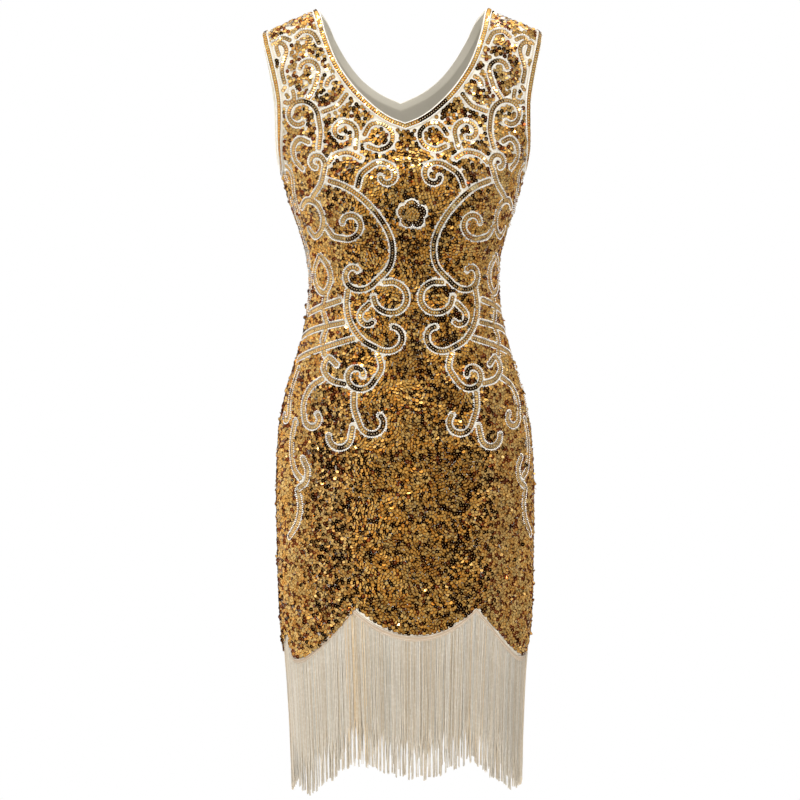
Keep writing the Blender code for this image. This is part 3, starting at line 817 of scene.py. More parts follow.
# ------------------------------------------------------------ sequin infill
def waves(rng, count, shortest, longest):
    """A smooth random function of place, about -1 to 1."""
    length = shortest * (longest / shortest) ** rng.random(count)
    way = rng.random(count) * 2 * math.pi
    k = 2 * math.pi / length[:, None] * np.stack([np.cos(way), np.sin(way)], axis=1)
    phase = rng.random(count) * 2 * math.pi

    def at(sv):
        sv = np.asarray(sv, float)
        return np.sin(sv @ k.T + phase).sum(-1) / math.sqrt(count / 2) / 1.6

    return at


def sown(skin, paths, rng):
    """Sequins in wandering chains that keep clear of the bands and edges, as
    (s, v, heading) rows."""
    ground = Raster()
    s, v = ground.centres()
    z = np.interp(v, skin.v, skin.z)
    ground.full |= off_panel(skin).full
    bands = Raster()
    for path in paths:
        height = np.interp(path[::2, 1], skin.v, skin.z)
        for low, high, clear in ((-9, -0.27, 0.0017), (-0.27, -0.19, 0.0020), (-0.19, 9, 0.0025)):
            bands.stamp(path[::2][(height >= low) & (height < high)], BAND_HALF + clear)
    middle = [0.0, float(down_to_v(skin, FLOWER_DOWN))]
    bands.stamp(np.concatenate([flower(k) + middle for k in (0.2, 0.5, 0.8, 1.0)]), 0.0034)
    bands.stamp([middle], 0.006)
    ground.full |= bands.full

    turn = waves(rng, 16, 0.030, 0.110)
    crowd = waves(rng, 10, 0.020, 0.070)
    free = ~ground.full
    taken = Raster()
    cell = Raster.CELL
    theta_s, theta_v = s[::8], v[::8]
    grid = np.stack(np.meshgrid(theta_s, theta_v), axis=-1)
    theta = (turn(grid) * 1.9 + 0.35 * np.sin(grid[..., 1] * 40)).tolist()
    crowding = crowd(grid).tolist()
    low_s, low_v = ground.low
    rows_n, columns_n = ground.shape
    kernels = {}

    def kernel(radius):
        reach_of = int(math.ceil(radius / cell))
        key = round(radius, 5)
        if key not in kernels:
            g = np.arange(-reach_of, reach_of + 1) * cell
            kernels[key] = (reach_of, g[:, None] ** 2 + g[None, :] ** 2 <= radius**2)
        return kernels[key]

    full = taken.full

    def is_free(ps, pv):
        c, r = int((ps - low_s) / cell), int((pv - low_v) / cell)
        if not (20 < c < columns_n - 20 and 20 < r < rows_n - 20):
            return False
        return bool(free[r, c]) and not full[r, c]

    def take(ps, pv, radius):
        reach_of, disc = kernel(radius)
        c, r = int((ps - low_s) / cell), int((pv - low_v) / cell)
        full[r - reach_of : r + reach_of + 1, c - reach_of : c + reach_of + 1] |= disc

    def look(ps, pv):
        c = min(max(int((ps - low_s) / cell / 8), 0), len(theta_s) - 1)
        r = min(max(int((pv - low_v) / cell / 8), 0), len(theta_v) - 1)
        return theta[r][c], crowding[r][c]

    def spacing(pv, how_crowded):
        # closer together on the skirt, more open on the straps
        open_up = min(max((pv + 0.06) / 0.30, 0.0), 1.0)
        return (0.00405 + 0.00025 * open_up + 0.00024 * how_crowded, 0.00385 + 0.00015 * open_up)

    found = []
    starts = []
    rows_of, columns_of = np.nonzero(free[::60, ::60])
    order = rng.permutation(len(rows_of))
    for k in order[:400]:
        starts.append((low_s + (columns_of[k] * 60 + 0.5) * cell, low_v + (rows_of[k] * 60 + 0.5) * cell))
    queue = []
    while starts or queue:
        if queue:
            ps, pv = queue.pop(int(rng.integers(0, min(len(queue), 40))))
        else:
            ps, pv = starts.pop()
        if not is_free(ps, pv):
            continue
        line = []
        longest = int(rng.integers(14, 60))
        for side in (1.0, -1.0):
            qs, qv = ps, pv
            behind = []
            for k in range(longest):
                way, how = look(qs, qv)
                across, along = spacing(qv, how)
                if k or side > 0:
                    line.append((qs, qv, way))
                    behind.append((qs, qv, across))
                if len(behind) > 2:
                    take(*behind.pop(0))
                qs += side * along * math.cos(way)
                qv += side * along * math.sin(way)
                if not is_free(qs, qv):
                    break
            for item in behind[:-2] if side > 0 else behind:
                take(*item)
            if side > 0:
                held = behind[-2:]
        for item in held:
            take(*item)
        if len(line) < 1:
            continue
        found += line
        for qs, qv, way in line[::2]:
            across = spacing(qv, 0.0)[0] * 1.03
            for side in (1.0, -1.0):
                queue.append((qs - side * across * math.sin(way), qv + side * across * math.cos(way)))
    lines = len(found)
    # single sequins in the gaps that are left
    for radius in (0.0034, 0.0031):
        taken.full[:] = False
        for qs, qv, _ in found:
            take(qs, qv, radius + 0.0002 * min(max((qv + 0.06) / 0.30, 0.0), 1.0))
        rows_of, columns_of = np.nonzero(free & ~taken.full)
        for k in rng.permutation(len(rows_of)).tolist():
            qs, qv = low_s + (columns_of[k] + 0.5) * cell, low_v + (rows_of[k] + 0.5) * cell
            if not full[rows_of[k], columns_of[k]]:
                found.append((qs, qv, look(qs, qv)[0]))
                take(qs, qv, radius + 0.0002)
    # and more beneath, where cloth would show between those of the skirt
    upper = len(found)
    taken.full[:] = False
    for qs, qv, _ in found:
        take(qs, qv, 0.00245)
    bare = free & ~full & (v[:, None] < float(np.interp(-0.13, skin.z, skin.v)))
    for axis in (0, 1):
        bare = bare & np.roll(bare, 1, axis) & np.roll(bare, -1, axis)
    rows_of, columns_of = np.nonzero(bare)
    for k in rng.permutation(len(rows_of)).tolist():
        qs, qv = low_s + (columns_of[k] + 0.5) * cell, low_v + (rows_of[k] + 0.5) * cell
        if not full[rows_of[k], columns_of[k]]:
            found.append((qs, qv, look(qs, qv)[0]))
            take(qs, qv, 0.0021)
    return np.array(found), upper

# ------------------------------------------------------------ meshes
def show(mesh, *materials):
    for material in materials:
        mesh.materials.append(material)
    made = bpy.data.objects.new(mesh.name, mesh)
    bpy.context.scene.collection.objects.link(made)
    return made


def built(name, verts, faces, smooth=True):
    """A mesh from equal-sided faces, an array with a row for each."""
    mesh = bpy.data.meshes.new(name)
    faces = np.asarray(faces)
    mesh.vertices.add(len(verts))
    mesh.vertices.foreach_set("co", np.asarray(verts, np.float32).ravel())
    mesh.loops.add(faces.size)
    mesh.loops.foreach_set("vertex_index", faces.astype(np.int32).ravel())
    mesh.polygons.add(len(faces))
    mesh.polygons.foreach_set("loop_start", np.arange(0, faces.size, faces.shape[1], dtype=np.int32))
    mesh.polygons.foreach_set("use_smooth", np.full(len(faces), smooth))
    mesh.update(calc_edges=True)
    return mesh


def set_uv(mesh, name, at_vertex):
    """A UV map from one place for each vertex."""
    layer = mesh.uv_layers.new(name=name, do_init=False)
    index = np.zeros(len(mesh.loops), np.int32)
    mesh.loops.foreach_get("vertex_index", index)
    layer.uv.foreach_set("vector", np.asarray(at_vertex, np.float32)[index].ravel())


def set_colour(mesh, name, at_vertex):
    at_vertex = np.asarray(at_vertex, np.float32)
    layer = mesh.color_attributes.new(name=name, type="FLOAT_COLOR", domain="POINT")
    layer.data.foreach_set("color", np.concatenate([at_vertex, np.ones((len(at_vertex), 1), np.float32)], axis=1).ravel())


def cells_of(count):
    """Lower corner and size of a place of its own for each of many small things."""
    side = int(math.ceil(math.sqrt(count)))
    k = np.arange(count)
    return np.stack([(k % side) / side, (k // side) / side], axis=1), 1.0 / side


def discs(name, centre, along, normal, radius, cup, colour, sides, hole, material):
    """Sequins: shallow faceted cups, or rings if they have a hole."""
    count = len(centre)
    across = np.cross(normal, along)
    turn = np.arange(sides) * 2 * math.pi / sides
    ring = np.stack([np.cos(turn), np.sin(turn)], axis=1)
    rim = (
        centre[:, None]
        + radius * ring[None, :, :1] * along[:, None]
        + radius * ring[None, :, 1:] * across[:, None]
        + cup * normal[:, None]
    )
    at = np.arange(count)[:, None] * (2 * sides if hole else sides + 1)
    k, after = np.arange(sides)[None], (np.arange(sides)[None] + 1) % sides
    if hole:
        share = hole / radius
        inner = centre[:, None] + share * (rim - cup * normal[:, None] - centre[:, None])
        verts = np.concatenate([rim, inner], axis=1).reshape(-1, 3)
        faces = np.stack([at + k, at + after, at + sides + after, at + sides + k], axis=-1)
        faces = faces.reshape(-1, 4)
        flat = np.concatenate([ring, ring * share])
    else:
        verts = np.concatenate([rim, centre[:, None]], axis=1).reshape(-1, 3)
        faces = np.stack([at + k, at + after, at + sides + 0 * k], axis=-1).reshape(-1, 3)
        flat = np.concatenate([ring, [[0.0, 0.0]]])
    mesh = built(name, verts, faces)
    each = len(flat)
    set_uv(mesh, "Disc", np.tile(0.5 + 0.5 * flat, (count, 1)))
    low, size = cells_of(count)
    spread = (low[:, None] + size * (0.5 + 0.44 * flat[None])).reshape(-1, 2)
    set_uv(mesh, "OFBake", spread)
    set_colour(mesh, "tint", np.repeat(colour, each, axis=0))
    return show(mesh, material)


GOLDEN = (1 + 5**0.5) / 2
BALL = np.array(
    [[0, s, t * GOLDEN] for s in (1, -1) for t in (1, -1)]
    + [[s, t * GOLDEN, 0] for s in (1, -1) for t in (1, -1)]
    + [[t * GOLDEN, 0, s] for s in (1, -1) for t in (1, -1)],
    float,
)
BALL /= np.linalg.norm(BALL[0])
BALL_FACES = []
for i in range(12):
    for j in range(i + 1, 12):
        for k in range(j + 1, 12):
            sides_of = [np.linalg.norm(BALL[a] - BALL[b]) for a, b in ((i, j), (j, k), (i, k))]
            if max(sides_of) < 1.1:
                flip = np.dot(np.cross(BALL[j] - BALL[i], BALL[k] - BALL[i]), BALL[i]) < 0
                BALL_FACES.append((i, k, j) if flip else (i, j, k))


def balls(name, centre, along, normal, size, material):
    """Small oval beads, threaded end to end."""
    count = len(centre)
    across = np.cross(normal, along)
    verts = centre[:, None] + size[:, None, None] * (
        1.28 * BALL[None, :, :1] * along[:, None]
        + BALL[None, :, 1:2] * across[:, None]
        + BALL[None, :, 2:] * normal[:, None]
    )
    faces = (np.arange(count)[:, None, None] * 12 + np.array(BALL_FACES)[None]).reshape(-1, 3)
    mesh = built(name, verts.reshape(-1, 3), faces)
    low, cell = cells_of(count)
    # each face gets its own small triangle of the bead's place
    k = np.arange(20)
    corner = np.stack([(k % 5) / 5.0, (k // 5) / 4.0], axis=1)
    tri = np.array([[0.02, 0.02], [0.17, 0.02], [0.02, 0.21]])
    spot = corner[:, None] + tri[None]
    spread = (low[:, None, None] + cell * spot[None]).reshape(-1, 2)
    mesh.uv_layers.new(name="OFBake", do_init=False).uv.foreach_set("vector", spread.astype(np.float32).ravel())
    return show(mesh, material)


def tubes(name, lines, half_width, half_depth, sideways, outwards, sides, material, colour=None):
    """Yarns or cords along lines of equal length: an array (line, place, 3)."""
    count, places = lines.shape[:2]
    turn = (np.arange(sides) + 0.5) * 2 * math.pi / sides
    ring = (
        np.cos(turn)[None, None, :, None] * half_width[..., None, None] * sideways[:, :, None]
        + np.sin(turn)[None, None, :, None] * half_depth[..., None, None] * outwards[:, :, None]
    )
    verts = lines[:, :, None] + ring
    at = (np.arange(count)[:, None, None] * places + np.arange(places - 1)[None, :, None]) * sides
    k, after = np.arange(sides)[None, None], (np.arange(sides)[None, None] + 1) % sides
    faces = np.stack([at + k, at + sides + k, at + sides + after, at + after], axis=-1).reshape(-1, 4)
    if sides == 3:
        first = np.arange(count)[:, None] * places * sides
        last = first + (places - 1) * sides
        ends = [first + [[0, 1, 2]], last + [[2, 1, 0]]]
        faces = np.concatenate([faces[:, [0, 1, 2]], faces[:, [0, 2, 3]], *ends])
    mesh = built(name, verts.reshape(-1, 3), faces)
    run = np.concatenate(
        [np.zeros((count, 1)), np.cumsum(np.linalg.norm(np.diff(lines, axis=1), axis=2), axis=1)], axis=1
    )
    around = np.broadcast_to(k / sides, (count, places, sides))
    set_uv(mesh, "Yarn", np.stack([around, np.broadcast_to(run[..., None], around.shape)], axis=-1).reshape(-1, 2))
    low, cell = cells_of(count)
    up = (run / run[:, -1:])[..., None]
    spread = np.stack(
        np.broadcast_arrays(low[:, None, None, 0] + cell * (0.05 + 0.9 * around), low[:, None, None, 1] + cell * (0.03 + 0.94 * up)),
        axis=-1,
    )
    set_uv(mesh, "OFBake", spread.reshape(-1, 2))
    if colour is not None:
        set_colour(mesh, "tint", np.repeat(colour, places * sides, axis=0))
    return show(mesh, material)


def wall(name, skin, points, cells, outer, inner, materials):
    """A closed wall over cells of (angle, z) points, between two offsets from
    the form. Its inner side takes the second material if there is one."""
    used = sorted({i for cell in cells for i in cell})
    order = np.full(len(points), -1)
    order[used] = np.arange(len(used))
    points = np.asarray(points, float)[used]
    count = len(points)
    quads = order[np.asarray(cells)]
    outside = place(points[:, 0], points[:, 1], outer)
    normal = outward(points[:, 0], points[:, 1])
    a, b, c, d = (outside[quads[:, k]] for k in range(4))
    facing = (np.cross(c - a, d - b) * normal[quads[:, 0]]).sum(1) > 0
    quads = np.where(facing[:, None], quads, quads[:, ::-1])
    edges = {}
    for face in quads.tolist():
        for k in range(4):
            i, j = face[k], face[(k + 1) % 4]
            if (j, i) in edges:
                del edges[j, i]
            else:
                edges[i, j] = True
    rim = [[j, i, i + count, j + count] for i, j in edges]
    faces = np.concatenate([quads, quads[:, ::-1] + count, np.array(rim)])
    mesh = built(name, np.concatenate([outside, place(points[:, 0], points[:, 1], inner)]), faces)
    sharp = np.zeros(len(mesh.edges), bool)
    ends = np.zeros(len(mesh.edges) * 2, np.int32)
    mesh.edges.foreach_get("vertices", ends)
    rim_set = {tuple(sorted(e)) for e in edges} | {tuple(sorted((i + count, j + count))) for i, j in edges}
    for n, pair in enumerate(ends.reshape(-1, 2).tolist()):
        sharp[n] = tuple(sorted(pair)) in rim_set
    mesh.attributes.new("sharp_edge", "BOOLEAN", "EDGE").data.foreach_set("value", sharp)
    own = np.where(np.abs(turned(points[:, 0])) > 90.0, turned(180.0 - points[:, 0]), turned(points[:, 0])) if skin is None else (
        turned(180.0 - points[:, 0]) if skin.back else turned(points[:, 0])
    )
    flat = (skin or SKINS[0]).flat(own, points[:, 1])
    set_uv(mesh, "Cloth", np.concatenate([flat, flat]))
    made = show(mesh, *materials)
    if len(materials) > 1:
        index = np.zeros(len(faces), np.int32)
        index[len(quads) : 2 * len(quads)] = 1
        mesh.polygons.foreach_set("material_index", index)
    return made


def hanging(name, skin, top, bottom, outer, inner, rows, materials):
    """A wall that hangs from the hem, its columns close together."""
    u = np.array(BACK_COLUMNS if skin.back else FRONT_COLUMNS, float)
    u = np.unique(np.concatenate([u, (u[1:] + u[:-1]) / 2])) / 90.0 * float(seam_u(SKIRT_BLEND_Z, skin.back))
    angles = round_to(np.concatenate([-u[::-1], u[1:]]), skin.back)
    points = []
    for k in range(rows):
        w = k / (rows - 1)
        points += list(zip(angles.tolist(), (top(angles) * (1 - w) + bottom(angles) * w).tolist()))
    wide = len(angles)
    cells = [
        [r * wide + c, r * wide + c + 1, (r + 1) * wide + c + 1, (r + 1) * wide + c]
        for r in range(rows - 1)
        for c in range(wide - 1)
    ]
    return wall(name, skin, points, cells, outer, inner, materials)


# ------------------------------------------------------------ materials
class Web:
    """A few words for making a node material."""

    def __init__(self, name):
        self.material = bpy.data.materials.new(name)
        self.material.use_nodes = True
        self.tree = self.material.node_tree
        self.shader = self.tree.nodes["Principled BSDF"]

    def add(self, kind, inputs=None, **settings):
        node = self.tree.nodes.new("ShaderNode" + kind)
        for key, value in settings.items():
            setattr(node, key, value)
        for key, value in (inputs or {}).items():
            self.set(node.inputs[key], value)
        return node

    def set(self, socket, value):
        if isinstance(value, bpy.types.NodeSocket):
            self.tree.links.new(value, socket)
        elif isinstance(value, bpy.types.Node):
            self.tree.links.new(value.outputs[0], socket)
        else:
            socket.default_value = value

    def maths(self, operation, *values, clamp=False):
        node = self.add("Math", operation=operation, use_clamp=clamp)
        for k, value in enumerate(values):
            self.set(node.inputs[k], value)
        return node.outputs[0]

    def mix(self, share, a, b, blend="MIX"):
        node = self.add("Mix", data_type="RGBA", blend_type=blend)
        self.set(node.inputs[0], share)
        self.set(node.inputs[6], a)
        self.set(node.inputs[7], b)
        return node.outputs[2]

    def ramp(self, value, *stops, colours=False):
        node = self.add("ValToRGB")
        ramp = node.color_ramp
        while len(ramp.elements) < len(stops):
            ramp.elements.new(0.5)
        for element, (at, colour) in zip(ramp.elements, stops):
            element.position = at
            element.color = colour if colours else (colour, colour, colour, 1)
        self.set(node.inputs[0], value)
        return node.outputs[0]

    def finish(self, **sockets):
        for key, value in sockets.items():
            self.set(self.shader.inputs[key.replace("_", " ")], value)
        return self.material


def rgb(r, g, b):
    """Linear colour of an sRGB one given from 0 to 255."""
    c = np.array([r, g, b]) / 255.0
    c = np.where(c <= 0.04045, c / 12.92, ((c + 0.055) / 1.055) ** 2.4)
    return (*c.tolist(), 1.0)


def sequin_material(name, knot_colour, knot_size):
    """Foil on plastic: metal with a pierced, stitched middle and a dark rim, its cut edge with painted shade where the
    next sequin overlaps it.
    """
    w = Web(name)
    uv = w.add("UVMap", uv_map="Disc")
    off = w.add("VectorMath", {0: uv.outputs[0], 1: (0.5, 0.5, 0.0)}, operation="SUBTRACT")
    r = w.maths("MULTIPLY", w.add("VectorMath", {0: off.outputs[0]}, operation="LENGTH").outputs["Value"], 2.0)
    tint = w.add("Attribute", attribute_name="tint").outputs["Color"]
    place_of = w.add("TexCoord").outputs["Object"]
    mottled = w.add("TexNoise", {"Vector": place_of, "Scale": 900.0, "Detail": 2.0, "Roughness": 0.6}).outputs[0]
    foil = w.mix(w.ramp(mottled, (0.35, 0.0), (0.75, 0.25)), tint, (0.45, 0.17, 0.03, 1), "MIX")
    # dark rim: the cut edge, and painted shade where the next sequin overlaps this one
    edge = w.ramp(r, (0.77, 0.0), (0.85, 0.95))
    foil = w.mix(edge, foil, (0.090, 0.012, 0.004, 1))
    knot = w.ramp(r, (knot_size, 1.0), (knot_size + 0.07, 0.0))
    foil = w.mix(knot, foil, knot_colour)
    metal = w.maths("SUBTRACT", 1.0, w.maths("MULTIPLY", knot, 0.9))
    rough = w.maths("ADD", w.maths("MULTIPLY", mottled, 0.10), 0.05)
    bump = w.add("Bump", {"Strength": 0.07, "Distance": 0.0001, "Height": mottled})
    return w.finish(Base_Color=foil, Metallic=metal, Roughness=rough, Normal=bump)


def net_material():
    """Fine ivory net with round holes over its pale backing cloth."""
    w = Web("ivory_net")
    uv = w.add("UVMap", uv_map="Cloth")
    holes = w.add("TexVoronoi", {"Vector": uv.outputs[0], "Scale": 1050.0, "Randomness": 0.25}, feature="DISTANCE_TO_EDGE")
    thread = w.ramp(holes.outputs["Distance"], (0.05, 1.0), (0.20, 0.0))
    soft = w.add("TexNoise", {"Vector": uv.outputs[0], "Scale": 38.0, "Detail": 3.0}).outputs[0]
    base = w.mix(soft, (0.60, 0.53, 0.41, 1), (0.74, 0.68, 0.56, 1))
    colour = w.mix(w.maths("MULTIPLY", thread, 0.55), base, (0.90, 0.87, 0.79, 1))
    bump = w.add("Bump", {"Strength": 0.5, "Distance": 0.0003, "Height": thread})
    return w.finish(Base_Color=colour, Roughness=0.72, Sheen_Weight=0.25, Sheen_Roughness=0.4, Normal=bump)


def lining_material(name="lining_cloth"):
    """Plain knitted lining, paler where its edge is turned and stitched."""
    w = Web(name)
    uv = w.add("UVMap", uv_map="Cloth")
    knit = w.add("TexWave", {"Vector": uv.outputs[0], "Scale": 260.0, "Distortion": 0.6, "Detail": 1.0}, bands_direction="X")
    rows = w.add("TexWave", {"Vector": uv.outputs[0], "Scale": 190.0, "Distortion": 0.4, "Detail": 1.0}, bands_direction="Y")
    weave = w.maths("MULTIPLY", knit.outputs[1], rows.outputs[1])
    soft = w.add("TexNoise", {"Vector": uv.outputs[0], "Scale": 16.0, "Detail": 3.0}).outputs[0]
    base = w.mix(soft, (0.40, 0.37, 0.31, 1), (0.48, 0.45, 0.38, 1))
    rim = w.add("Attribute", attribute_name="rim").outputs["Fac"]
    base = w.mix(w.ramp(rim, (0.0, 0.85), (0.55, 0.75), (0.62, 0.0)), base, (0.74, 0.70, 0.60, 1))
    stitches = w.ramp(rim, (0.50, 0.0), (0.56, 1.0), (0.60, 1.0), (0.66, 0.0))
    colour = w.mix(w.maths("MULTIPLY", weave, 0.25), base, (0.30, 0.27, 0.22, 1))
    colour = w.mix(w.maths("MULTIPLY", stitches, 0.15), colour, (0.30, 0.26, 0.19, 1))
    height = w.maths("SUBTRACT", w.maths("MULTIPLY", weave, 0.3), stitches)
    bump = w.add("Bump", {"Strength": 0.4, "Distance": 0.0004, "Height": height})
    return w.finish(Base_Color=colour, Roughness=0.58, Sheen_Weight=0.3, Sheen_Roughness=0.35, Normal=bump)


def bead_material():
    w = Web("ivory_beads")
    place_of = w.add("TexCoord").outputs["Object"]
    cloud = w.add("TexNoise", {"Vector": place_of, "Scale": 420.0, "Detail": 2.0}).outputs[0]
    wide = w.add("TexNoise", {"Vector": place_of, "Scale": 14.0, "Detail": 1.0}).outputs[0]
    base = w.mix(cloud, (0.86, 0.83, 0.78, 1), (0.97, 0.97, 0.96, 1))
    base = w.mix(w.ramp(wide, (0.4, 0.0), (0.8, 0.25)), base, (0.84, 0.76, 0.60, 1))
    rough = w.maths("ADD", w.maths("MULTIPLY", cloud, 0.2), 0.12)
    bump = w.add("Bump", {"Strength": 0.2, "Distance": 0.0001, "Height": cloud})
    return w.finish(Base_Color=base, Roughness=rough, Coat_Weight=0.35, Coat_Roughness=0.15, Normal=bump)


def tape_material():
    """The fringe's satin header: fine ribs across it, with woven edges."""
    w = Web("header_tape")
    uv = w.add("UVMap", uv_map="Cloth")
    ribs = w.add("TexWave", {"Vector": uv.outputs[0], "Scale": 330.0, "Distortion": 0.5, "Detail": 1.0}, bands_direction="X").outputs[1]
    soft = w.add("TexNoise", {"Vector": uv.outputs[0], "Scale": 60.0, "Detail": 3.0}).outputs[0]
    base = w.mix(soft, (0.38, 0.27, 0.18, 1), (0.48, 0.37, 0.27, 1))
    colour = w.mix(w.maths("MULTIPLY", ribs, 0.25), base, (0.58, 0.49, 0.38, 1))
    bump = w.add("Bump", {"Strength": 0.4, "Distance": 0.0003, "Height": ribs})
    return w.finish(Base_Color=colour, Roughness=0.42, Sheen_Weight=0.4, Sheen_Roughness=0.3, Normal=bump)


def yarn_material(name, attribute=True, plain=(0.58, 0.51, 0.41, 1)):
    """Twisted rayon yarn: its plies cross it on the slant."""
    w = Web(name)
    uv = w.add("UVMap", uv_map="Yarn")
    parts = w.add("SeparateXYZ", {0: uv.outputs[0]})
    slant = w.maths("ADD", w.maths("MULTIPLY", parts.outputs[0], 2 * math.pi * 2), w.maths("MULTIPLY", parts.outputs[1], 2 * math.pi / 0.0016))
    ply = w.maths("ADD", w.maths("MULTIPLY", w.maths("SINE", slant), 0.5), 0.5)
    place_of = w.add("TexCoord").outputs["Object"]
    fuzz = w.add("TexNoise", {"Vector": place_of, "Scale": 300.0, "Detail": 2.0}).outputs[0]
    base = w.add("Attribute", attribute_name="tint").outputs["Color"] if attribute else plain
    # painted shade: the grooves between the plies are painted darker and browner
    colour = w.mix(w.maths("MULTIPLY", w.maths("SUBTRACT", 1.0, ply), 0.22), base, (0.50, 0.41, 0.28, 1))
    colour = w.mix(w.ramp(fuzz, (0.45, 0.0), (0.80, 0.35)), colour, (0.86, 0.83, 0.76, 1))
    bump = w.add("Bump", {"Strength": 0.5, "Distance": 0.0002, "Height": ply})
    return w.finish(Base_Color=colour, Roughness=0.48, Sheen_Weight=0.25, Sheen_Roughness=0.35, Normal=bump)


def floor_material():
    w = Web("studio_floor")
    place_of = w.add("TexCoord").outputs["Object"]
    soft = w.add("TexNoise", {"Vector": place_of, "Scale": 2.5, "Detail": 4.0}).outputs[0]
    colour = w.mix(soft, (0.74, 0.73, 0.71, 1), (0.80, 0.79, 0.77, 1))
    return w.finish(Base_Color=colour, Roughness=0.85)

# ------------------------------------------------------------ pieces
def tilted(along, normal, lean, roll):
    """Frames turned up at their leading edge by lean and sideways by roll."""
    across = np.cross(normal, along)
    lean, roll = lean[:, None], roll[:, None]
    ahead = along * np.cos(lean) + normal * np.sin(lean)
    up = normal * np.cos(lean) - along * np.sin(lean)
    return ahead, up * np.cos(roll) - across * np.sin(roll)


def turned_to(n, target, most):
    """Normals turned towards a direction by at most so many degrees, and how
    far each one turned."""
    turn = np.minimum(np.arccos(np.clip(n @ target, -1, 1)), np.radians(most))
    aside = target - n * (n @ target)[:, None]
    aside /= np.linalg.norm(aside, axis=1, keepdims=True) + 1e-9
    return n * np.cos(turn)[:, None] + aside * np.sin(turn)[:, None], turn


def square_to(along, n):
    along = along - (along * n).sum(1, keepdims=True) * n
    return along / np.linalg.norm(along, axis=1, keepdims=True)


def foil_colours(rng, count, wide, brown_and_shade_share=0.0, painted_side_light=0.0):
    """Each sequin's own gold, with a few redder and a few paler ones, a share of dark brown ones
    that are part darker foil and part painted shade, and painted light that takes some to a paler, pinker gold."""
    gold = np.array([0.90, 0.470, 0.090])
    deep = np.array([0.76, 0.30, 0.035])
    pale = np.array([0.94, 0.64, 0.22])
    share = np.clip(rng.normal(0.0, 0.45, (count, 1)) + 0.35 * wide[:, None], -1, 1)
    tint = gold + (pale - gold) * np.clip(share, 0, 1) + (deep - gold) * np.clip(-share, 0, 1)
    # painted light: a paler, pinker gold
    tint = tint + (np.array([0.88, 0.62, 0.38]) - tint) * np.broadcast_to(painted_side_light, (count,))[:, None]
    # dark brown sequins: a few real darker foil, and painted shade where the share is raised
    brown = (rng.random(count) < brown_and_shade_share)[:, None]
    return np.where(brown, np.array([0.17, 0.030, 0.006]) * (0.5 + rng.random((count, 1))), tint)


def sequin_piece(skin, paths, rng, material):
    found, upper = sown(skin, paths, rng)
    under = np.arange(len(found)) >= upper
    sv, way = found[:, :2], found[:, 2]
    height = np.interp(sv[:, 1], skin.v, skin.z)
    bare = 0.11 * np.clip((height + 0.22) / 0.06, 0, 1) + 0.06 * np.clip((height + 0.13) / 0.05, 0, 1)
    kept = rng.random(len(sv)) > bare
    sv, way, under, height = sv[kept], way[kept], under[kept], height[kept]
    strap = np.clip((height + 0.15) / 0.06, 0, 1)
    wobble = [waves(rng, 12, 0.015, 0.060) for _ in range(3)]
    near = [waves(rng, 24, 0.006, 0.012) for _ in range(2)]
    count = len(sv)
    way = turned_out(sv, way, near[1](sv) + rng.normal(0, 0.45, count) > 0.30)
    p, along, n = frames(skin, sv, way)
    # most stand up like shingles, a few in each chain lie flat, and some stray
    flat = 1.1 * near[0](sv) + rng.normal(0, 0.45, count) > 0.48 + 0.10 * np.clip((height + 0.30) / 0.06, 0, 1) + 0.35 * strap
    stray = rng.random(count) < 0.22 + 0.12 * np.clip((height + 0.30) / 0.06, 0, 1)
    lean = 18.0 + 1.0 * wobble[0](sv) + 2.5 * near[1](sv) + rng.normal(0, 1, count) * np.where(stray, 12.0, 3.5)
    roll = 1.0 * wobble[1](sv) + 4.0 * near[1](sv) + rng.normal(0, 1, count) * np.where(stray, 12.0, 4.5)
    beside = np.abs(sv[:, 0]) > 0.080
    lean = lean + np.where(beside, rng.normal(0, 5.0, count), 0)
    roll = roll + np.where(beside, rng.normal(0, 6.0, count), 0)
    loose = (np.abs(sv[:, 0]) > 0.100) & (height < -0.30) & (rng.random(count) < 0.16)
    lean = lean + np.where(loose, rng.normal(0, 20.0, count), 0)
    roll = roll + np.where(loose, rng.normal(0, 20.0, count), 0)
    lean = np.radians(np.where(flat, 3.5 + rng.normal(0, 3.0, count), lean))
    roll = np.radians(np.where(flat, rng.normal(0, 3.5, count), roll))
    lean, roll = np.where(under, 0.4 * lean, lean), np.where(under, 0.4 * roll, roll)
    forward = np.array([0.0, 1.0 if skin.back else -1.0, 0.0])
    n_cloth = n
    n, turn = turned_to(n, forward, np.where(flat, 24.0, 0.0))
    along = square_to(along, n)
    ahead, up = tilted(along, n, lean, roll)
    rise = 0.0004 + 0.0024 * 0.75 * (np.abs(np.sin(lean)) + np.abs(np.sin(roll)))
    rise = np.where(under, 0.0002, rise + 0.0018 * np.sin(turn))
    radius = 0.00270
    name = "sequins_" + ("back" if skin.back else "front")
    beside = np.clip((np.abs(sv[:, 0]) - 0.060) / 0.040, 0, 1)
    # a few dark brown sequins all over as darker foil, and more on the sides as painted shade between the tilted ones
    brown_and_shade_share = 0.05 + beside * (0.13 + 0.10 * near[0](sv))
    # painted highlight: paler towards the upper body, the straps and the sides, and pinker on the sides
    tints = foil_colours(rng, count, wobble[2](sv) + 0.4 * np.clip((height + 0.30) / 0.06, 0, 1) + 0.7 * strap + 1.0 * beside, brown_and_shade_share, 0.10 * beside)
    return discs(name, p + n_cloth * rise[:, None], ahead, up, radius, 0.00012, tints, 10, 0, material)


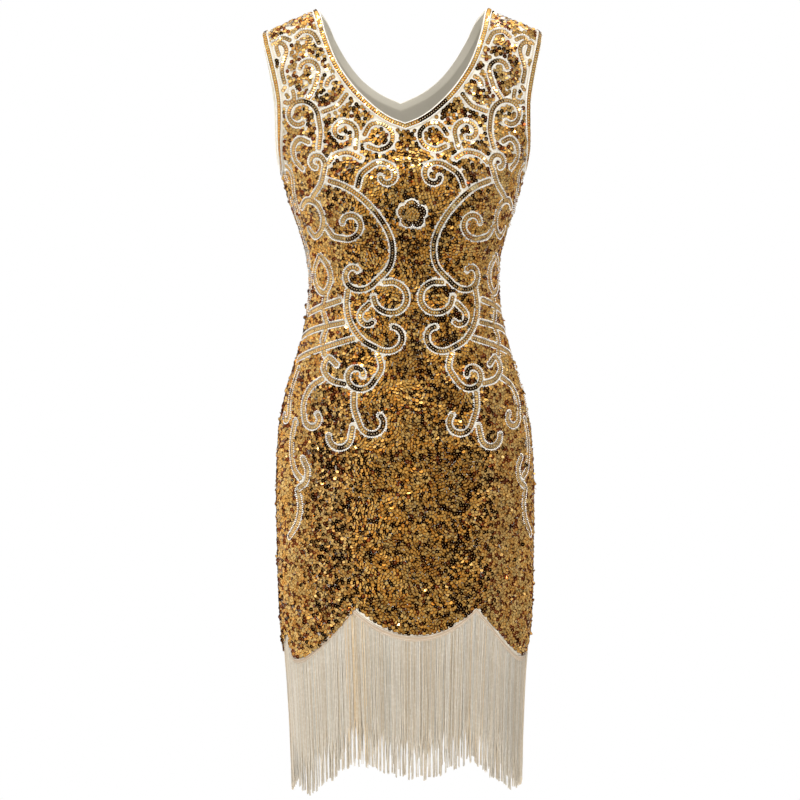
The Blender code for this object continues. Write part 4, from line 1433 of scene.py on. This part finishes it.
def band_pieces(skin, paths, rng, beads_of, sequins_of):
    side = "back" if skin.back else "front"
    bead_at, chain = drawn_bands(skin, paths)
    p, along, n = frames(skin, bead_at, np.zeros(len(bead_at)))
    size = BEAD_RADIUS * (1 + rng.normal(0, 0.05, len(p)))
    beside = np.clip((np.abs(bead_at[:, 0]) - 0.070) / 0.030, 0, 1)
    rise = 0.00045 + size + 0.0006 * beside
    beads = balls("scroll_beads_" + side, p + n * rise[:, None], along, n, size, beads_of)
    at = np.array([c[0] for c in chain])
    way = np.array([c[1] for c in chain])
    p, along, n = frames(skin, at, way)
    wobble = waves(rng, 12, 0.02, 0.09)
    lean = 14.0 + 7.5 * wobble(at) + rng.normal(0, 2.0, len(p))
    beside = np.clip((np.abs(at[:, 0]) - 0.060) / 0.040, 0, 1)
    roll = 5.0 * waves(rng, 12, 0.03, 0.09)(at) + rng.normal(0, 2.0, len(p))
    # one ring of the flower lies flat, and the rest of it stands up
    off = at - [0.0, float(down_to_v(skin, FLOWER_DOWN))]
    share = np.linalg.norm(off, axis=1) / np.linalg.norm(flower_at(np.arctan2(off[:, 0], off[:, 1])), axis=1)
    flat = (share > 0.50) & (share < np.where(off[:, 0] > 0.2 * off[:, 1], 0.90, 0.72))
    forward = np.array([0.0, 1.0 if skin.back else -1.0, 0.0])
    n_cloth = n
    n = np.where((share < 1.0)[:, None], n + 6.0 * forward, n)
    n /= np.linalg.norm(n, axis=1, keepdims=True)
    # some lengths of the chain face straight out, and some on the chest turn up
    mood = waves(rng, 16, 0.018, 0.070)(at)
    height = np.interp(at[:, 1], skin.v, skin.z)
    out = (mood < -0.55) & (share > 1.0) & (beside < 0.6)
    lifted = (mood > 0.85) & (share > 1.0) & (height > -0.27) & (beside < 0.6)
    n, turn = turned_to(n, forward, np.where(out, 26.0, 0.0))
    skyward = np.array([-0.21, 0.85 * forward[1], 0.47])
    n, lift = turned_to(n, skyward / np.linalg.norm(skyward), np.where(lifted, 26.0, 0.0))
    turn = turn + lift
    lean = np.where(out | lifted, rng.normal(1.0, 2.0, len(p)), lean)
    roll = np.where(out | lifted, 0.3 * roll, roll)
    along = square_to(along, n)
    lean = np.radians(np.where(flat, 1.0 + rng.normal(0, 1.5, len(p)), np.where(share < 1, 16.0, lean)))
    roll = np.radians(np.where(share < 1, 0.3 * roll, roll))
    ahead, up = tilted(along, n, lean, roll)
    # painted light: the chain is painted paler and pinker on the sides
    tints = foil_colours(rng, len(p), 1.3 + wobble(at) + 1.6 * beside, 0.0, 0.3 * beside)
    # painted highlight: the lengths that turn up are painted pale yellow
    tints = np.where(lifted[:, None], np.array([0.97, 0.80, 0.42]), tints)
    rings = discs(
        "scroll_chain_" + side, p + n_cloth * (0.0009 + 0.0016 * np.sin(turn))[:, None], ahead, up, CHAIN_RADIUS, 0.00014,
        tints, 10, 0.00060, sequins_of,
    )
    return beads, rings


def hung_line(points, count):
    """Evenly spaced (angle, z) rows resampled for an edging's rows."""
    p = place(points[:, 0], points[:, 1])
    run = np.concatenate([[0.0], np.cumsum(np.linalg.norm(np.diff(p, axis=0), axis=1))])
    at = np.linspace(0, run[-1], count)
    return np.stack([np.interp(at, run, points[:, k]) for k in (0, 1)], axis=1), run[-1]


def edging_rows(lines, closed):
    """Places, headings and normals of an edging's two bead rows and its chain.
    lines are pairs of (angle, z) paths along its outer edge and inner line."""
    rows = {}
    for row, share, pitch in (("outer", 0.12, BEAD_PITCH), ("inner", 0.88, BEAD_PITCH), ("chain", 0.50, CHAIN_PITCH)):
        mid = []
        for edge, line in lines:
            e, _ = hung_line(edge, 160)
            f, _ = hung_line(line, 160)
            mid.append(e * (1 - share) + f * share)
        mid = np.concatenate(mid)
        p = place(mid[:, 0], mid[:, 1])
        n = outward(mid[:, 0], mid[:, 1])
        both, d = evened(np.concatenate([p, n * 1e-7], axis=1), pitch, closed)
        at, normal, along = both[:, :3], both[:, 3:], d[:, :3]
        normal /= np.linalg.norm(normal, axis=1, keepdims=True)
        along = along - (along * normal).sum(1, keepdims=True) * normal
        along /= np.linalg.norm(along, axis=1, keepdims=True)
        rows[row] = (at, along, normal)
    return rows


def edging_pieces(name, lines, closed, rng, beads_of, sequins_of):
    rows = edging_rows(lines, closed)
    p, along, n = (np.concatenate([rows[k][i] for k in ("outer", "inner")]) for i in range(3))
    size = BEAD_RADIUS * (1 + rng.normal(0, 0.05, len(p)))
    beads = balls(name + "_beads", p + n * (GAP + TRIM_WALL + size[:, None] - 0.0002), along, n, size, beads_of)
    p, along, n = rows["chain"]
    count = len(p)
    run = np.arange(count) / 9.0 + rng.random() * 6
    lean = np.radians(13.0 + 6.0 * np.sin(run * 1.3) + rng.normal(0, 3.0, count))
    roll = np.radians(8.0 * np.sin(run * 0.7 + 1) + rng.normal(0, 3.0, count))
    lean = np.where(along[:, 2] > 0, -0.2 * lean, lean)
    # lengths of it face straight out
    out = (np.sin(run * 0.9 + 2) + 0.5 * np.sin(run * 2.3) < -0.80) & (not closed)
    n_cloth = n
    n, turn = turned_to(n, np.array([0.0, np.sign(n[:, 1].mean()), 0.0]), np.where(out, 24.0, 0.0))
    lean, roll = np.where(out, 0.2 * lean, lean), np.where(out, 0.3 * roll, roll)
    along = square_to(along, n)
    ahead, up = tilted(along, n, lean, roll)
    rings = discs(
        name + "_chain", p + n_cloth * (GAP + TRIM_WALL + 0.0006 + 0.0014 * np.sin(turn))[:, None], ahead, up, CHAIN_RADIUS, 0.00014,
        foil_colours(rng, count, 1.1 + np.sin(run)), 10, 0.00060, sequins_of,
    )
    return beads, rings


def signed(path, back, half):
    """A panel's (u, z) path as (angle, z), on one half of it."""
    angle = half * round_to(path[:, 0], back)
    return np.stack([angle, path[:, 1]], axis=1)


def fringe_piece(skin, rng, material):
    """Yarns in three layers that hang from the tape, draw together into locks
    lower down, and end unevenly along the scallops."""
    side = "back" if skin.back else "front"
    edge_u = float(seam_u(-0.80, skin.back))
    length = float(np.interp(-0.80, skin.z, skin.s[:, 183]) * 2)
    v_of = float(np.interp(-0.80, skin.z, skin.v))
    places = 11
    width = rng.uniform(0.0026, 0.0062, 280)
    bounds = np.cumsum(width) - length / 2 - 0.010
    middle = bounds - width / 2
    pull = rng.uniform(0.72, 0.97, len(width)) * (rng.random(len(width)) < 0.92)
    lag = rng.normal(0, 0.0036, len(width))
    lean = rng.normal(0, 0.0008, len(width))
    drift = waves(rng, 8, 0.05, 0.16)
    ripple = waves(rng, 10, 0.010, 0.030)
    lines, wide, sideways, outwards, colours = [], [], [], [], []
    for layer, (offset, pitch) in enumerate(((0.0002, 0.00104), (-0.0006, 0.00107), (-0.0012, 0.00110))):
        count = int(length / pitch)
        s = (np.arange(count) + 0.5) * length / count - length / 2 + rng.normal(0, 0.00018, count)
        lock = np.searchsorted(bounds, s + rng.normal(0, 0.0004, count))
        a0, _ = skin.hung(np.stack([s, np.full(count, v_of)], axis=1))
        a0 = np.clip(a0, -edge_u + 0.05, edge_u - 0.05)
        angle = skin.angle(a0)
        top = scallop_z(HEM, angle) - HEM_GAP - TAPE_HEIGHT + 0.0012
        end = scallop_z(FRINGE_ENDS, angle) + 0.0020 + np.abs(lag[lock])
        end = end + np.abs(rng.normal(0, 0.0006, count)) + (0.0008 * rng.random(count) if layer else 0)
        # a part of the yarns, mostly deeper ones, stop short of the rest
        end = end + (rng.random(count) < (0.06, 0.30, 0.40)[layer]) * rng.uniform(0.004, 0.036, count)
        if skin.back:
            middle_of = np.clip((62 - np.abs(a0)) / 20.0, 0, 1)
            end = end + (rng.random(count) < 0.80 * middle_of) * rng.uniform(0.010, 0.042, count)
        t = np.linspace(0, 1, places) ** 0.65
        z = top[:, None] * (1 - t) + end[:, None] * t
        down = top[:, None] - z
        low = np.clip((t - 0.71) / 0.14, 0, 1)
        low = low * low * (3 - 2 * low)
        here = np.stack([np.broadcast_to(s[:, None], z.shape), z * 0.16 + layer], axis=-1)
        sway = (middle[lock] - s)[:, None] * pull[lock][:, None] * low
        sway = sway + lean[lock][:, None] * t**1.5 + 0.0010 * t * drift(here * [1, 0.3])
        sway = sway + rng.normal(0, 0.0003, (count, 1)) * t + 0.0002 * t * np.sin(
            down * 2 * math.pi / 0.040 + rng.random((count, 1)) * 6.28
        )
        at = np.clip(a0[:, None] + np.degrees(sway / 0.14), -edge_u - 0.1, edge_u + 0.1)
        depth = offset + rng.normal(0, 0.00010, (count, 1)) + 0.0003 * t * ripple(here * [1.3, 2.0])
        depth = np.clip(depth, -0.0032, 0.0012)
        n = outward(skin.angle(at), z)
        p = place(skin.angle(at), z, 0.0) + n * depth[..., None]
        run = np.gradient(p, axis=1)
        run /= np.linalg.norm(run, axis=2, keepdims=True)
        x = np.cross(run, n)
        x /= np.linalg.norm(x, axis=2, keepdims=True)
        taper = np.where(np.arange(places) == places - 1, 0.90, 1.0)
        lines.append(p), sideways.append(x), outwards.append(np.cross(x, run))
        wide.append((0.00056 + rng.normal(0, 0.00005, (count, 1))) * taper)
        near_peak = np.clip(1 - np.abs(np.abs(turned(angle)) - 27.5) / 9.0, 0, 1)
        near_side = np.clip(1 - (90 - np.abs(a0)) / 22.0, 0, 1)
        pick = rng.random(count) + 0.18 * near_peak + 0.25 * near_side
        palette = [rgb(193, 188, 177), rgb(203, 194, 180), rgb(198, 186, 166), rgb(196, 179, 154), rgb(214, 189, 152)]
        palette = np.array([c[:3] for c in palette])
        index = np.digitize(pick, [0.20, 0.55, 0.82, 1.0])
        colours.append(palette[index] * (1 + rng.normal(0, 0.025, (count, 1))))
    wide = np.concatenate(wide)
    return tubes(
        "fringe_yarns_" + side,
        np.concatenate(lines), wide, wide * 0.70,
        np.concatenate(sideways), np.concatenate(outwards), 3, material, np.clip(np.concatenate(colours), 0, 1),
    )


def cord_along(name, skin, height, offset, radius, material):
    """A thin cord sewn along the hem's tape."""
    u = np.linspace(-1, 1, 260) * float(seam_u(SKIRT_BLEND_Z, skin.back))
    angle = round_to(u, skin.back)
    z = height(angle)
    p = place(angle, z, offset)
    n = outward(angle, z)
    run = np.gradient(p, axis=0)
    run /= np.linalg.norm(run, axis=1, keepdims=True)
    side = np.cross(run, n)
    side /= np.linalg.norm(side, axis=1, keepdims=True)
    full = np.full((1, len(u)), radius)
    full[:, [0, -1]] *= 0.05
    return tubes(name, p[None], full, full, side[None], np.cross(side, run)[None], 6, material)


# ------------------------------------------------------------ the dress
camera_data = bpy.data.cameras.new("camera")
camera_data.sensor_width = 36.0
camera_data.lens = 36.0 * 3.5 / (800 * 0.001274)
camera = bpy.data.objects.new("camera", camera_data)
bpy.context.scene.collection.objects.link(camera)
azimuth, aim = math.radians(-1.5), Vector((-0.0057, 0.0, -0.4797))
away = Vector((math.sin(azimuth), -math.cos(azimuth), 0.0))
camera.location = aim + away * 3.5
camera.rotation_mode = "QUATERNION"
roll = Matrix.Rotation(math.radians(-0.35), 4, "Z").to_quaternion()
camera.rotation_quaternion = (-away).to_track_quat("-Z", "Y") @ roll
bpy.context.scene.camera = camera

gold = sequin_material("gold_sequins", (0.30, 0.20, 0.09, 1), 0.15)
threaded = sequin_material("threaded_sequins", (0.58, 0.45, 0.27, 1), 0.23)
net, lining, beads_of = net_material(), lining_material(), bead_material()
tape, yarn, cord = tape_material(), yarn_material("ivory_yarn"), yarn_material("edge_cord", False)
backing = lining_material("backing_cloth")
SKINS = (Skin(False), Skin(True))
PANELS = (Panel(False), Panel(True))
SCROLLS = STRAP_SCROLLS + CHEST_SCROLLS + WAIST_SCROLLS + HIP_SCROLLS
pieces = {}


def keep(piece, slot, *nodes):
    """Rides a piece on the dress's one body, hides the parts of the form that it stands for and keeps it by name. slot
    is not used.
    """
    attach(piece, "root")
    if nodes:
        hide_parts(*nodes)
    pieces[piece.name] = piece
    return piece


for skin, panel, side in zip(SKINS, PANELS, ("front", "back")):
    rng = np.random.default_rng(41 + skin.back)
    paths = scroll_paths(skin, SCROLLS)
    keep(wall(side + "_net", skin, panel.points, panel.cells(), 0.0, -CLOTH_WALL, (net, backing)), "ivory_net", side + "_panel")
    keep(sequin_piece(skin, paths, rng, gold), "gold_sequins", side + "_panel")
    bead_piece, chain_piece = band_pieces(skin, paths, rng, beads_of, threaded)
    keep(bead_piece, "ivory_beads", side + "_panel")
    keep(chain_piece, "gold_sequins", side + "_panel")

    neck, line = neck_lines(skin.back)
    base = wall("neck_edging_" + side, skin, panel.points, panel.cells(columns=[0]), GAP + TRIM_WALL, GAP, (net,))
    keep(base, "ivory_net", "neck_trim_" + side)
    pair = [(signed(q, skin.back, -1)[::-1], signed(w, skin.back, -1)[::-1]) for q, w in ((neck, line),)]
    pair += [(signed(neck, skin.back, 1), signed(line, skin.back, 1))]
    for piece, slot in zip(edging_pieces("neck_edging_" + side, pair, False, rng, beads_of, threaded), ("ivory_beads", "gold_sequins")):
        keep(piece, slot, "neck_trim_" + side)

    keep(
        hanging(
            "hem_tape_satin_" + side, skin,
            lambda a: scallop_z(HEM, a) - HEM_GAP, lambda a: scallop_z(HEM, a) - HEM_GAP - TAPE_HEIGHT,
            0.0002, -TAPE_WALL, 4, (tape,),
        ),
        "header_tape", "hem_tape_" + side,
    )
    for part, drop, radius in (("upper", 0.0008, 0.00055), ("lower", 0.0046, 0.00035)):
        keep(
            cord_along(
                f"hem_cord_{part}_{side}", skin, lambda a, d=drop: scallop_z(HEM, a) - HEM_GAP - d, 0.0004, radius, cord
            ),
            "ivory_yarn", "hem_tape_" + side,
        )
    keep(fringe_piece(skin, rng, yarn), "ivory_yarn", "fringe_" + side)

inside = -CLOTH_WALL - GAP
back_lining = wall(
    "back_lining_cloth", SKINS[1], PANELS[1].points, PANELS[1].cells(from_row=LINING_ROW), inside, inside - LINING_WALL, (lining,)
)
keep(back_lining, "lining_cloth", "back_lining")
front_points, shift = PANELS[0].points, len(PANELS[0].points)
for half, side in ((1, "left"), (-1, "right")):
    rng = np.random.default_rng(61 + half)
    cells = PANELS[0].cells(columns=[PANELS[0].last - 1], halves=(half,))
    cells += [[i + shift for i in cell] for cell in PANELS[1].cells(columns=[PANELS[1].last - 1], halves=(half,))]
    for (f_line, f_edge), (b_line, b_edge) in zip(PANELS[0].end_pairs(half), PANELS[1].end_pairs(half)):
        cells.append([f_line, f_edge, b_edge + shift, b_line + shift])
    name = "armhole_edging_" + side
    base = wall(name, None, front_points + PANELS[1].points, cells, GAP + TRIM_WALL, GAP, (net,))
    keep(base, "ivory_net", "armhole_trim_" + side)
    pairs = []
    for is_back in (False, True):
        edge, line = (signed(q, is_back, half) for q in armhole_lines(is_back))
        pairs.append((edge[::-1], line[::-1]) if is_back else (edge, line))
    for piece, slot in zip(edging_pieces(name, pairs, True, rng, beads_of, threaded), ("ivory_beads", "gold_sequins")):
        keep(piece, slot, "armhole_trim_" + side)

# how far each place of a lining is from its neckline, 1 at 16 mm and beyond
for piece, is_back in ((back_lining, True), (pieces["front_net"], False), (pieces["back_net"], True)):
    mesh = piece.data
    co = np.zeros(len(mesh.vertices) * 3)
    mesh.vertices.foreach_get("co", co)
    edge, _ = neck_lines(is_back)
    edge = np.concatenate([place(half * round_to(edge[:, 0], is_back), edge[:, 1], -CLOTH_WALL) for half in (1, -1)])
    far = np.array([np.sqrt(((edge - p) ** 2).sum(1).min()) for p in co.reshape(-1, 3)])
    layer = mesh.attributes.new("rim", "FLOAT", "POINT")
    layer.data.foreach_set("value", np.clip(far / 0.016, 0, 1).astype(np.float32))


for side in ("front", "back"):
    panel = pieces[side + "_net"]
    neck = pieces["neck_edging_" + side]
for side in ("left", "right"):
    piece = pieces["armhole_edging_" + side]

# ------------------------------------------------------------ studio
floor_mesh = bpy.data.meshes.new("studio_floor")
rim_turn = np.linspace(0, 2 * math.pi, 96, endpoint=False)
floor_mesh.from_pydata([(2.6 * math.cos(t), 2.6 * math.sin(t), -1.38) for t in rim_turn], [], [list(range(96))])
floor = show(floor_mesh, floor_material())
floor.visible_glossy = False

for name, at, power, size, shines in (
    ("key", (-1.3, -3.0, 1.4), 64.0, 1.6, False),
    ("fill", (1.6, -3.0, 0.5), 44.0, 1.6, False),
    ("back_fill", (0.6, 3.0, 0.9), 40.0, 1.6, False),
    ("left_fill", (-3.0, -0.6, 0.2), 4.0, 1.6, False),
    ("right_fill", (3.0, -0.6, 0.2), 8.0, 1.6, False),
    ("inner_fill", (0.0, 0.0, -1.30), 1.3, 0.30, False),
    ("sparkle_left", (-0.8, -1.3, 2.2), 14.0, 0.40, True),
    ("sparkle_right", (1.0, -1.2, 2.0), 9.0, 0.35, True),
    ("sparkle_back", (0.3, 1.3, 2.2), 9.0, 0.40, True),
):
    light = bpy.data.lights.new(name, "AREA")
    light.shape, light.size, light.energy = "DISK", size, power
    lamp = bpy.data.objects.new(name, light)
    lamp.location = at
    lamp.rotation_mode = "QUATERNION"
    lamp.rotation_quaternion = (Vector((0, 0, -0.45)) - Vector(at)).to_track_quat("-Z", "Y")
    lamp.visible_glossy = shines
    lamp.visible_camera = False
    bpy.context.scene.collection.objects.link(lamp)

world = bpy.data.worlds.new("studio")
bpy.context.scene.world = world
world.use_nodes = True
tree = world.node_tree
tree.nodes.clear()


def node(kind, **settings):
    made = tree.nodes.new("ShaderNode" + kind)
    for key, value in settings.items():
        setattr(made, key, value)
    return made


def sky_maths(operation, *values, clamp=False):
    made = node("Math", operation=operation, use_clamp=clamp)
    for k, value in enumerate(values):
        if isinstance(value, bpy.types.NodeSocket):
            tree.links.new(value, made.inputs[k])
        else:
            made.inputs[k].default_value = value
    return made.outputs[0]


def spot(direction, inner, outer):
    """1 within inner degrees of a direction, 0 beyond outer."""
    d = Vector(direction).normalized()
    dot = node("VectorMath", operation="DOT_PRODUCT")
    tree.links.new(way.outputs["Generated"], dot.inputs[0])
    dot.inputs[1].default_value = d
    lo, hi = math.cos(math.radians(outer)), math.cos(math.radians(inner))
    made = node("MapRange", interpolation_type="SMOOTHSTEP")
    tree.links.new(dot.outputs["Value"], made.inputs[0])
    made.inputs[1].default_value, made.inputs[2].default_value = lo, hi
    return made.outputs[0]


def around(direction, *stops):
    """Light by the angle in degrees from a direction."""
    dot = node("VectorMath", operation="DOT_PRODUCT")
    tree.links.new(way.outputs["Generated"], dot.inputs[0])
    dot.inputs[1].default_value = Vector(direction).normalized()
    ramp = node("ValToRGB")
    while len(ramp.color_ramp.elements) < len(stops):
        ramp.color_ramp.elements.new(0.5)
    for element, (angle, value) in zip(ramp.color_ramp.elements, stops):
        element.position = (1 - math.cos(math.radians(angle))) / 2
        element.color = (value, value, value, 1)
    tree.links.new(sky_maths("MULTIPLY_ADD", dot.outputs["Value"], -0.5, 0.5), ramp.inputs[0])
    return ramp.outputs[0]


way = node("TexCoord")
noise = node("TexNoise")
noise.inputs["Scale"].default_value = 8.5
noise.inputs["Detail"].default_value = 2.0
noise.inputs["Roughness"].default_value = 0.6
tree.links.new(way.outputs["Generated"], noise.inputs["Vector"])
gaps = node("MapRange", interpolation_type="SMOOTHSTEP")
tree.links.new(noise.outputs[0], gaps.inputs[0])
for k, value in enumerate((0.38, 0.44, 0.05, 1.05)):
    gaps.inputs[k + 1].default_value = value
# dark where the camera stands, a dim room in front, bright walls to the sides
level = around((0, -1, -0.03), (0, 0.008), (15, 0.012), (22, 0.575), (50, 0.69), (75, 0.92), (95, 1.0), (130, 0.87), (160, 0.61), (180, 0.51))
filled = sky_maths("MULTIPLY", spot((-0.75, 0.65, 0.0), 30, 65), 0.3)
open_sky = sky_maths("SUBTRACT", 1.0, filled)
level = sky_maths("MULTIPLY", level, sky_maths("MULTIPLY_ADD", gaps.outputs[0], open_sky, filled))
upward = node("MapRange", interpolation_type="SMOOTHSTEP")
height = node("SeparateXYZ")
tree.links.new(way.outputs["Generated"], height.inputs[0])
tree.links.new(height.outputs["Z"], upward.inputs[0])
for k, value in enumerate((0.48, 0.88, 1.0, 1.25)):
    upward.inputs[k + 1].default_value = value
level = sky_maths("MULTIPLY", level, upward.outputs[0])
downward = node("MapRange", interpolation_type="SMOOTHSTEP")
tree.links.new(height.outputs["Z"], downward.inputs[0])
for k, value in enumerate((-0.60, -0.10, 0.72, 1.0)):
    downward.inputs[k + 1].default_value = value
level = sky_maths("MULTIPLY", level, downward.outputs[0])
# soft boxes overhead, a little more light towards -x, and a gap in the light behind and less light towards +x
for direction, inner, outer, gain in (
    ((-0.35, -0.40, 0.90), 12, 24, 0.60),
    ((0.40, -0.38, 0.90), 12, 23, 0.40),
    ((-0.80, 0.60, 0.05), 20, 60, 0.12),
    ((-0.85, -0.50, 0.05), 12, 45, 0.07),
    ((0.0, 0.5, 0.95), 12, 28, 1.2),
):
    level = sky_maths("ADD", level, sky_maths("MULTIPLY", spot(direction, inner, outer), gain))
for direction, inner, outer, keep_share in (
    ((0.0, 1.0, 0.0), 11, 17, 0.04),
    ((0.95, -0.15, 0.0), 20, 62, 0.67),
):
    dim = sky_maths("SUBTRACT", 1.0, sky_maths("MULTIPLY", spot(direction, inner, outer), 1.0 - keep_share))
    level = sky_maths("MULTIPLY", level, dim)
lit = node("Background")
tree.links.new(level, lit.inputs["Strength"])
warm = node("ValToRGB")
tree.links.new(level, warm.inputs[0])
warm.color_ramp.elements[0].color = (1.0, 0.42, 0.25, 1)
warm.color_ramp.elements[1].color = (1.0, 0.985, 0.95, 1)
warm.color_ramp.elements[1].position = 0.30
tree.links.new(warm.outputs[0], lit.inputs["Color"])
white = node("Background")
white.inputs["Color"].default_value = (1, 1, 1, 1)
white.inputs["Strength"].default_value = 1.0
path_of = node("LightPath")
either = node("MixShader")
tree.links.new(path_of.outputs["Is Camera Ray"], either.inputs[0])
tree.links.new(lit.outputs[0], either.inputs[1])
tree.links.new(white.outputs[0], either.inputs[2])
out = node("OutputWorld")
tree.links.new(either.outputs[0], out.inputs[0])
bpy.context.scene.view_settings.view_transform = "Standard"
